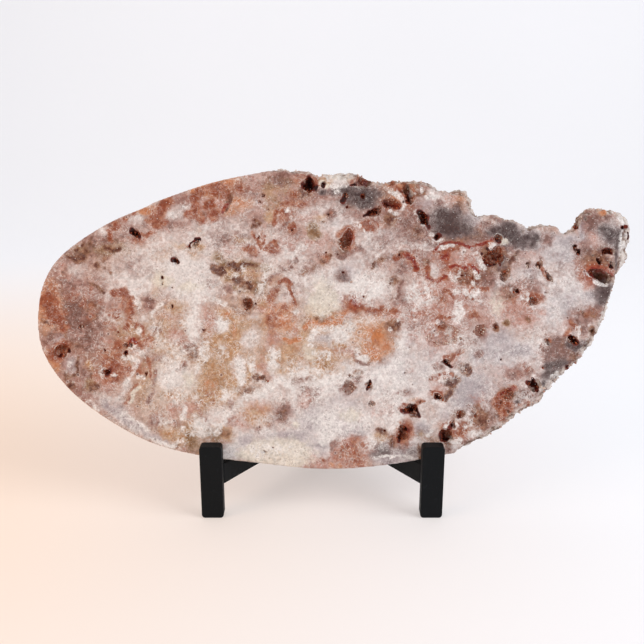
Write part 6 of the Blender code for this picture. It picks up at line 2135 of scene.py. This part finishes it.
@dataclass
class Druzy:
    """The small six-sided crystals that stand in the cavities and on the natural rind."""

    seed: int = 7
    cavity_share: float = 0.16
    cavity_level: float = 0.6
    rind_share: float = 0.02
    rind_level: float = 0.7
    radius: tuple[float, float] = (0.00030, 0.00070)
    slender: tuple[float, float] = (0.7, 1.3)
    sides: int = 6
    stem: tuple[tuple[float, float], ...] = ((-0.3, 1.0), (0.55, 0.92))
    skew: Place = (0.31, 0.87, 0.38)
    lean: float = 0.6
    cavity_tint: tuple[float, float] = (0.60, 0.6)
    rind_tint: tuple[float, float] = (0.20, 0.8)
    milk_clears: float = 0.85
    tint_spread: float = 0.30
    # How much painted shade the crystals take from the cavity marks and the cavities' depths.
    painted_shade: float = 2.0
    painted_shade_in_depth: float = 0.5
    painted_shade_start: float = 0.3

    def crystal(
        self, root: np.ndarray, up: np.ndarray, radius: float, length: float, turn: float
    ) -> tuple[list[np.ndarray], list[tuple[int, ...]]]:
        """Return one crystal: a tapered six-sided stem with a point.

        Args:
            root: Where it grows from.
            up: Its direction.
            radius: Its radius.
            length: Its whole length.
            turn: Its turn round its own axis.

        Returns:
            Its vertices and its faces.
        """
        side = np.cross(up, self.skew)
        side /= np.linalg.norm(side)
        other = np.cross(up, side)
        verts = []
        for height, width in self.stem:
            for step in range(self.sides):
                angle = turn + math.tau * step / self.sides
                spoke = math.cos(angle) * side + math.sin(angle) * other
                verts.append(root + up * (height * length) + spoke * (width * radius))
        verts.append(root + up * length)
        count = self.sides
        faces = []
        for step in range(count):
            after = (step + 1) % count
            faces.append((step, after, count + after, count + step))
            faces.append((count + step, count + after, 2 * count))
        return verts, faces

    def tint(self, draw: np.random.Generator, levels: dict[Enum, float]) -> float:
        """Draw a crystal's tint, from 0 for clear to 1 for stained and 2 for painted shade.

        Args:
            draw: The random numbers.
            levels: How much of each skin and stain there is where it grows.

        Returns:
            The tint.
        """
        rust = max(levels[kind] for kind in (Stain.RUST, Stain.RED, Stain.BROWN))
        least, swing = self.cavity_tint if levels[Skin.PIT] > self.cavity_level else self.rind_tint
        usual = least + swing * rust
        usual *= 1.0 - self.milk_clears * levels[Stain.MILK] * (1.0 - rust)
        tint = np.clip(draw.normal(usual, self.tint_spread), 0.0, 1.0)
        # Painted shade from the cavity marks and the cavities' depths.
        painted_shade = self.painted_shade * max(levels[Stain.DARK], self.painted_shade_in_depth * levels[Skin.DEPTH_SHADE])
        return tint + min(max(painted_shade - self.painted_shade_start, 0.0), 1.0)

    def build(self, stone: bpy.types.Object, material: bpy.types.Material) -> bpy.types.Object:
        """Grow the crystals on the stone.

        Args:
            stone: The stone, with its skins and stains as attributes.
            material: The crystals' material.

        Returns:
            The crystals, in one mesh.
        """
        points, normals = mesh_points(stone.data), mesh_normals(stone.data)
        ground = {}
        stains = (Stain.DARK, Stain.RUST, Stain.RED, Stain.BROWN, Stain.MILK)
        for kind in (Skin.PIT, Skin.DEPTH_SHADE, Skin.RIND, *stains):
            ground[kind] = np.zeros(len(points), dtype=np.float32)
            stone.data.attributes[kind.value].data.foreach_get("value", ground[kind])
        draw = np.random.default_rng(self.seed)
        chance = draw.random(len(points))
        in_cavity = self.cavity_share * (ground[Skin.PIT] > self.cavity_level)
        on_rind = self.rind_share * (ground[Skin.RIND] > self.rind_level)
        verts, faces, tints = [], [], []
        for index in np.flatnonzero(chance < in_cavity + on_rind):
            up = normals[index] + draw.normal(0.0, self.lean / 2.0, 3)
            up /= np.linalg.norm(up)
            radius = draw.uniform(*self.radius)
            length = radius * 2.0 * draw.uniform(*self.slender)
            tint = self.tint(draw, {kind: values[index] for kind, values in ground.items()})
            turn = draw.uniform(0.0, math.tau)
            own_verts, own_faces = self.crystal(points[index], up, radius, length, turn)
            first = len(verts)
            verts.extend(own_verts)
            faces.extend(tuple(first + corner for corner in face) for face in own_faces)
            tints.extend([tint] * len(own_verts))
        mesh = bpy.data.meshes.new("small_crystals")
        mesh.from_pydata(verts, [], faces)
        add_values(mesh, Crystal.TINT.value, np.array(tints))
        mesh.materials.append(material)
        crystals = new_object("small_crystals", mesh)
        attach(crystals, "root")
        return crystals


@dataclass
class Stand:
    """The stand's CAD nodes, which keep their shapes and get their paint."""

    nodes: tuple[str, ...] = ("front_post_left", "front_post_right", "rail_left", "rail_right", "prop_leg")

    def dress(self, paint: bpy.types.Material) -> list[bpy.types.Object]:
        """Paint the stand.

        Args:
            paint: The paint.

        Returns:
            The painted nodes.
        """
        pieces = [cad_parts[name] for name in self.nodes]
        for piece in pieces:
            for slot in piece.material_slots:
                slot.link = "OBJECT"
                slot.material = paint
        return pieces


class Lamp(NamedTuple):
    """A soft square lamp: its name, its place, the point that it faces, its width, watts and colour."""

    name: str
    place: Place
    aim: Place
    size: float
    power: float
    colour: tuple[float, float, float]

    def hang(self) -> None:
        """Hang the lamp in the scene."""
        data = bpy.data.lights.new(self.name, "AREA")
        data.size = self.size
        data.energy = self.power
        data.color = self.colour
        lamp = new_object(self.name, data)
        lamp.location = self.place
        lamp.rotation_euler = (Vector(self.aim) - Vector(self.place)).to_track_quat("-Z", "Y").to_euler()


@dataclass
class Studio:
    """The camera, the lights and the pale sweep behind the object."""

    camera_place: Place = (-0.0090, -0.5754, 0.2946)
    camera_pitch: float = math.radians(73.2)
    camera_start: float = 0.01
    focal_length: float = 48.07
    sensor: float = 36.0
    floor_front: float = -1.6
    floor_back: float = 0.75
    sweep_radius: float = 0.45
    sweep_steps: int = 12
    wall_top: float = 1.9
    half_width: float = 2.2
    lamps: tuple[Lamp, ...] = (
        Lamp("key_right", (1.15, -0.55, 0.95), (0.0, 0.0, 0.12), 0.9, 13.0, (0.93, 0.97, 1.0)),
        Lamp("fill_left", (-0.85, -0.45, 0.42), (0.0, 0.0, 0.12), 0.6, 3.4, (1.0, 0.70, 0.46)),
        Lamp("behind", (-0.5, 0.4, 0.9), (-0.05, 0.05, 0.0), 0.7, 1.5, (1.0, 0.97, 0.94)),
    )
    room: Colour = (0.97, 0.97, 1.0, 1.0)
    room_strength: float = 0.60

    def camera(self) -> None:
        """Place the camera at the photograph's angle and make it the scene's."""
        data = bpy.data.cameras.new("photo_camera")
        data.lens = self.focal_length
        data.sensor_width = self.sensor
        data.clip_start = self.camera_start
        camera = new_object("photo_camera", data)
        camera.location = self.camera_place
        camera.rotation_euler = (self.camera_pitch, 0.0, 0.0)
        bpy.context.scene.camera = camera

    def sweep(self) -> None:
        """Make the floor that curves up into a wall."""
        profile = [(self.floor_front, 0.0), (self.floor_back, 0.0)]
        for step in range(1, self.sweep_steps + 1):
            turn = math.radians(90.0 * step / self.sweep_steps)
            profile.append((
                self.floor_back + self.sweep_radius * math.sin(turn),
                self.sweep_radius * (1.0 - math.cos(turn)),
            ))
        profile.append((self.floor_back + self.sweep_radius, self.wall_top))
        verts = [(side * self.half_width, y, z) for y, z in profile for side in (-1.0, 1.0)]
        faces = [(2 * i, 2 * i + 1, 2 * i + 3, 2 * i + 2) for i in range(len(profile) - 1)]
        mesh = bpy.data.meshes.new("pale_sweep")
        mesh.from_pydata(verts, [], faces)
        mesh.shade_smooth()
        mesh.materials.append(PaperFinish().material())
        sweep = new_object("pale_sweep", mesh)

    def build(self) -> None:
        """Make the whole studio."""
        self.camera()
        self.sweep()
        for lamp in self.lamps:
            lamp.hang()
        world = bpy.data.worlds.new("soft_white")
        world.use_nodes = True
        background = world.node_tree.nodes["Background"]
        background.inputs["Color"].default_value = self.room
        background.inputs["Strength"].default_value = self.room_strength
        bpy.context.scene.world = world
        bpy.context.scene.view_settings.view_transform = "Standard"


def main() -> None:
    """Build the looks in order and report each piece."""
    logging.basicConfig(level=logging.INFO, format="%(message)s")
    log = logging.getLogger("slice")
    effects = Effects(MineralGrain().tree(), RaggedPatch().tree(), WhiteLace().tree(), StoneCells().tree())
    Studio().build()
    log.info("studio: camera, lights and sweep")
    stone = AmethystSlice().build(AmethystFinish().material(effects))
    log.info("%s: %d faces", stone.name, len(stone.data.polygons))
    crystals = Druzy().build(stone, CrystalFinish().material(effects))
    log.info("%s: %d faces", crystals.name, len(crystals.data.polygons))
    for piece in Stand().dress(PaintFinish().material(effects)):
        log.info("%s: painted", piece.name)


if __name__ == "__main__":
    main()
